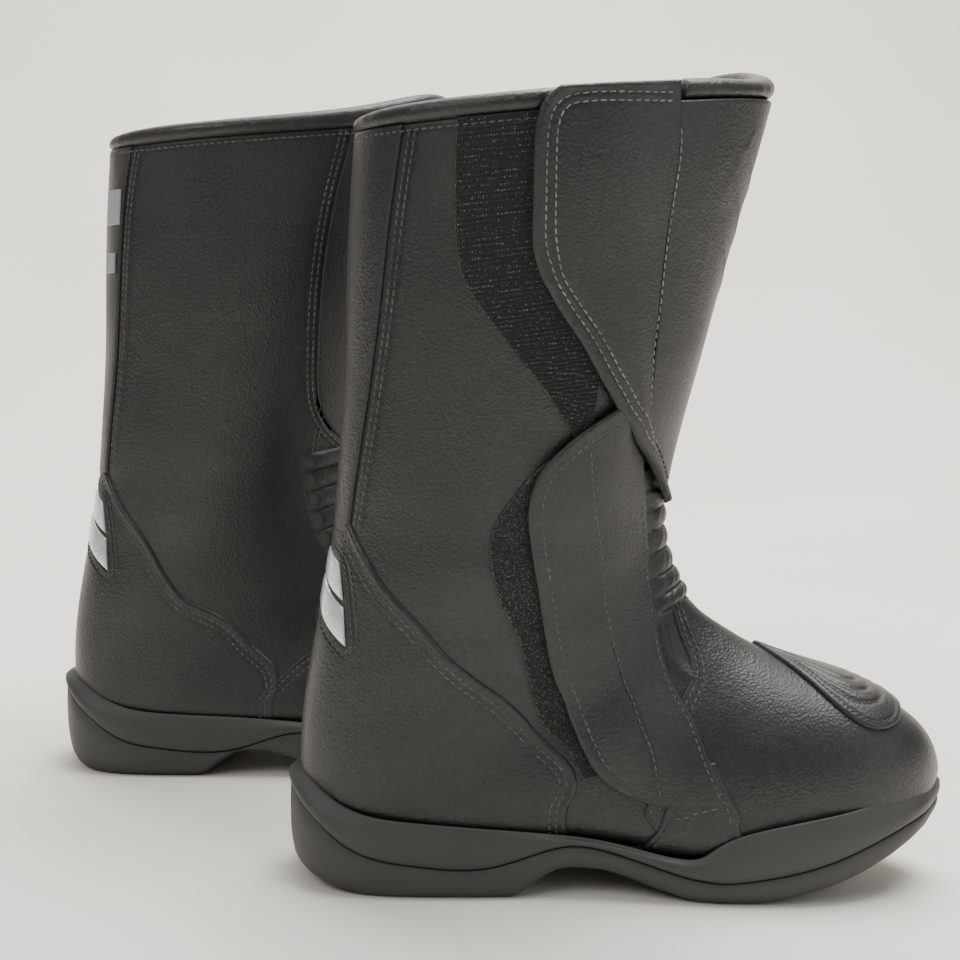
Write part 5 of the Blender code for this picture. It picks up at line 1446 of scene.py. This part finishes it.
def build_sole(looks):
    """The tread with its cut edge, and the cupped sidewall above the groove."""
    ring, out = sole_ring(420)
    groove, top = ring[:, 2], ring[:, 3]
    z0 = underside(ring[:, 0], ring[:, 1])
    tall = groove - z0

    def tread(x, y):
        """Underside with bars across the ball and the heel, between plain borders."""
        base = underside(x, y)
        flat = (base < 0.3) * smooth((44 - np.abs(y)) / 3)
        bars = smooth(np.sin(2 * PI * (x + 0.25 * np.abs(y)) / 13.0) * 4 - 0.4)
        return base + 1.8 * bars * flat * ((x < 92) | (x > 186)) * (x > 14)

    steps = [(9.0, z0 + 0.05), (6.5, z0 + 0.3), (4.6, z0 + 0.9), (3.0, z0 + 0.07 * tall + 1.5),
             (1.9, z0 + 0.22 * tall + 1.2), (1.2, z0 + 0.42 * tall + 0.8), (1.0, z0 + 0.7 * tall),
             (1.2, groove - 1.1), (1.7, groove - 0.5), (2.6, groove - 0.3)]
    wall = sole_band(ring, out, steps)
    inner = ring.copy()
    inner[:, :2] -= out * 9.0
    floor = toward_middle(inner, np.linspace(1, 0.02, 46), tread)
    tread_shape = outward_skin(lofted(floor + wall))
    publish("outsole", tread_shape, "rubber", nodes=["outsole"])

    high = top - groove
    lean = 1 + 1.3 * smooth((ring[:, 0] - 240) / 45) + 1.1 * smooth((44 - ring[:, 0]) / 36)
    steps = [(3.4, groove - 0.5), (1.8, groove + 0.1), (1.0, groove + 0.5),
             (0.5, groove + 0.14 * high + 0.3), (0.25, groove + 0.3 * high),
             (0.35, groove + 0.48 * high), (0.9 * lean, groove + 0.66 * high),
             (1.7 * lean, groove + 0.82 * high), (2.5 * lean, top - 1.0), (2.9 * lean, top - 0.35),
             (3.3 * lean, top - 0.05), (3.7 * lean, top - 0.1), (4.1 * lean, top - 0.6),
             (4.4 * lean, top - 1.8), (5.0 * lean, top - 5)]
    wall = sole_band(ring, out, steps)
    publish("midsole", outward_skin(lofted(wall)), "rubber", nodes=["midsole"])


def outward_skin(shape):
    """The open skin with its faces turned away from its own middle."""
    points, faces, uv = shape
    centre = points.mean(axis=0)
    a, b, c = (points[faces[:, k]] for k in range(3))
    facing = (np.cross(b - a, c - a) * (a - centre)).sum(1)
    return (points, faces, uv) if facing.sum() > 0 else (points, faces[:, ::-1], uv)


def paint_hidden(looks):
    """Materials for the solids that stay as they are inside the boot."""
    for side in SIDES:
        for node, material in (("heel_stiffener", "board"), ("insole_board", "board"),
                               ("toe_puff", "board"), ("steel_shank", "metal")):
            item = bpy.data.objects[f"{side}_{node}"]
            item.data.materials.clear()
            item.data.materials.append(MATERIALS[material])


# ---------------------------------------------------------------- stage

def build_stage(looks):
    """A pale seamless floor that curves up behind, soft lights, and the camera."""
    x = np.linspace(-3.2, 3.2, 60)
    path = np.concatenate([np.stack([np.linspace(-2.6, 1.1, 40), np.zeros(40)], -1),
                           np.stack([1.1 + 0.8 * np.sin(np.linspace(0.05, PI / 2, 30)),
                                     0.8 - 0.8 * np.cos(np.linspace(0.05, PI / 2, 30))], -1),
                           np.stack([np.full(20, 1.9), np.linspace(0.9, 3.4, 20)], -1)])
    grid = np.stack([np.broadcast_to(x[:, None], (60, 90)), np.broadcast_to(path[None, :, 0], (60, 90)),
                     np.broadcast_to(path[None, :, 1] - 0.0002, (60, 90))], -1)
    uv = grid[..., :2].reshape(-1, 2)
    floor = make_mesh("backdrop", (grid.reshape(-1, 3), grid_faces(60, 90), uv))
    n = Nodes("backdrop_cloth")
    tone = n.ramp(n.noise(2.2, 4.0), ((0.3, (0.79, 0.765, 0.7)), (0.7, (0.86, 0.835, 0.77))))
    weave = n.bump(n.noise(60.0, 3.0), 0.0006, 0.3)
    floor.data.materials.append(n.finish(tone, None, weave, Roughness=0.9))
    for name, place, target, wide, tall, power, colour in LIGHTS:
        light = bpy.data.lights.new(name, "AREA")
        light.shape, light.size, light.size_y = "RECTANGLE", wide, tall
        light.energy, light.color = power * looks.light, colour
        item = bpy.data.objects.new(name, light)
        bpy.context.scene.collection.objects.link(item)
        aim = np.array(target) - np.array(place)
        item.matrix_world = look_along(place, aim, (0, 0, 1))
    world = bpy.data.worlds.new("soft_room")
    world.use_nodes = True
    background = world.node_tree.nodes["Background"]
    background.inputs["Color"].default_value = (0.95, 0.96, 1.0, 1.0)
    background.inputs["Strength"].default_value = ROOM_LIGHT * looks.light
    bpy.context.scene.world = world
    yaw, pitch, roll = (math.radians(a) for a in CAMERA_TURN)
    ahead = np.array([math.sin(yaw) * math.cos(pitch), math.cos(yaw) * math.cos(pitch), -math.sin(pitch)])
    right = np.array([math.cos(yaw), -math.sin(yaw), 0])
    above = np.cross(right, ahead)
    across = right * math.cos(roll) + above * math.sin(roll)
    above = -right * math.sin(roll) + above * math.cos(roll)
    camera = bpy.data.cameras.new("camera")
    camera.lens, camera.sensor_width = CAMERA_LENS, 36.0
    item = bpy.data.objects.new("camera", camera)
    bpy.context.scene.collection.objects.link(item)
    place = np.array(CAMERA_PLACE) - MIDDLE
    item.matrix_world = world_matrix(across, above, -ahead, place)
    bpy.context.scene.camera = item


def world_matrix(*columns):
    """World matrix from three directions and a place."""
    return Matrix([[*v] for v in np.column_stack(columns)] + [[0, 0, 0, 1]])


def look_along(place, aim, up):
    """World matrix of a light or camera at a place that looks along a direction."""
    back = -unit(np.asarray(aim, float))
    right = unit(np.cross(up, back))
    above = np.cross(back, right)
    return world_matrix(right, above, back, place)


# ---------------------------------------------------------------- add-on

class BootLooks(bpy.types.PropertyGroup):
    leather_colour: FloatVectorProperty(
        name="Leather", description="Colour of all leather", subtype="COLOR", size=3, min=0, max=1,
        default=(0.0165, 0.0165, 0.0155))
    sole_colour: FloatVectorProperty(
        name="Sole", description="Colour of the moulded sole", subtype="COLOR", size=3, min=0, max=1,
        default=(0.038, 0.0378, 0.0345))
    thread_colour: FloatVectorProperty(
        name="Thread", description="Colour of the flaps' grey thread", subtype="COLOR", size=3,
        min=0, max=1, default=(0.2, 0.2, 0.19))
    stitch_pitch: FloatProperty(
        name="Stitch pitch", description="Distance from stitch to stitch", default=3.6 * MM, min=2 * MM,
        max=8 * MM, unit="LENGTH")
    roll_height: FloatProperty(
        name="Roll height", description="How far the ankle's padded rolls swell", default=2.3 * MM,
        min=1 * MM, max=6 * MM, unit="LENGTH")
    roll_count: IntProperty(
        name="Rolls", description="Number of padded rolls over the ankle", default=6, min=3, max=10)
    collar_height: FloatProperty(
        name="Collar height", description="Height of the soft roll on the rim", default=9.4 * MM,
        min=4 * MM, max=14 * MM, unit="LENGTH")
    light: FloatProperty(
        name="Light", description="Strength of the studio's light", default=1.0, min=0.1, max=4.0)


class BootStep:
    """Shared by the operators: each runs its own builders with the sidebar's looks."""
    builders = ()

    def execute(self, context):
        for build in self.builders:
            build(context.scene.boot_looks)
        return {"FINISHED"}


class BOOT_OT_materials(BootStep, bpy.types.Operator):
    """Make the leather, thread, cloth, rubber and metal materials"""
    bl_idname = "boot.materials"
    bl_label = "Materials"
    builders = (build_materials,)


class BOOT_OT_leg(BootStep, bpy.types.Operator):
    """Add the side panels, the shin panel and the back strip"""
    bl_idname = "boot.leg"
    bl_label = "Leg Panels"
    builders = (build_leg,)


class BOOT_OT_flex(BootStep, bpy.types.Operator):
    """Add the padded rolls over the ankle"""
    bl_idname = "boot.flex"
    bl_label = "Ankle Rolls"
    builders = (build_flex,)


class BOOT_OT_foot(BootStep, bpy.types.Operator):
    """Add the vamp, the closure's base and the heel counter"""
    bl_idname = "boot.foot"
    bl_label = "Foot Panels"
    builders = (build_foot,)


class BOOT_OT_trims(BootStep, bpy.types.Operator):
    """Add the heel reflector, the calf plate and the toe pad"""
    bl_idname = "boot.trims"
    bl_label = "Trims and Toe Pad"
    builders = (build_trims,)


class BOOT_OT_strips(BootStep, bpy.types.Operator):
    """Add the loop strips of the closure"""
    bl_idname = "boot.strips"
    bl_label = "Loop Strips"
    builders = (build_strips,)


class BOOT_OT_flaps(BootStep, bpy.types.Operator):
    """Add the two closing flaps and their hook patches"""
    bl_idname = "boot.flaps"
    bl_label = "Closing Flaps"
    builders = (build_flaps,)


class BOOT_OT_stitching(BootStep, bpy.types.Operator):
    """Add all visible stitches"""
    bl_idname = "boot.stitching"
    bl_label = "Stitching"
    builders = (build_stitching,)


class BOOT_OT_collar(BootStep, bpy.types.Operator):
    """Add the soft roll on the rim"""
    bl_idname = "boot.collar"
    bl_label = "Collar"
    builders = (build_collar,)


class BOOT_OT_inside(BootStep, bpy.types.Operator):
    """Add the lining, the footbed and the zip, and paint the hidden boards"""
    bl_idname = "boot.inside"
    bl_label = "Inside"
    builders = (build_inside, paint_hidden)


class BOOT_OT_zip(BootStep, bpy.types.Operator):
    """Add the zip's slider and puller"""
    bl_idname = "boot.zip"
    bl_label = "Zip Slider"
    builders = (build_zip,)


class BOOT_OT_sole(BootStep, bpy.types.Operator):
    """Add the tread and the cupped sidewall"""
    bl_idname = "boot.sole"
    bl_label = "Sole"
    builders = (build_sole,)


class BOOT_OT_stage(BootStep, bpy.types.Operator):
    """Add the floor, the lights and the camera"""
    bl_idname = "boot.stage"
    bl_label = "Stage"
    builders = (build_stage,)


OPERATORS = (BOOT_OT_materials, BOOT_OT_leg, BOOT_OT_flex, BOOT_OT_foot, BOOT_OT_trims, BOOT_OT_strips,
             BOOT_OT_flaps, BOOT_OT_collar, BOOT_OT_inside, BOOT_OT_zip, BOOT_OT_sole, BOOT_OT_stitching,
             BOOT_OT_stage)


class BOOT_PT_panel(bpy.types.Panel):
    """Sizes, colours and pieces of the boots"""
    bl_label = "Riding Boots"
    bl_idname = "BOOT_PT_panel"
    bl_space_type = "VIEW_3D"
    bl_region_type = "UI"
    bl_category = "Boots"

    def draw(self, context):
        column = self.layout.column()
        looks = context.scene.boot_looks
        for name in ("leather_colour", "sole_colour", "thread_colour", "stitch_pitch", "roll_height",
                     "roll_count", "collar_height", "light"):
            column.prop(looks, name)
        column.separator()
        for operator in OPERATORS:
            column.operator(operator.bl_idname)


CLASSES = (BootLooks, *OPERATORS, BOOT_PT_panel)


def register():
    for item in CLASSES:
        bpy.utils.register_class(item)
    bpy.types.Scene.boot_looks = PointerProperty(type=BootLooks)


def unregister():
    del bpy.types.Scene.boot_looks
    for item in reversed(CLASSES):
        bpy.utils.unregister_class(item)


def main():
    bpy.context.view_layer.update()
    register()
    for operator in OPERATORS:
        getattr(bpy.ops.boot, operator.bl_idname.split(".")[1])()


if __name__ == "__main__":
    main()
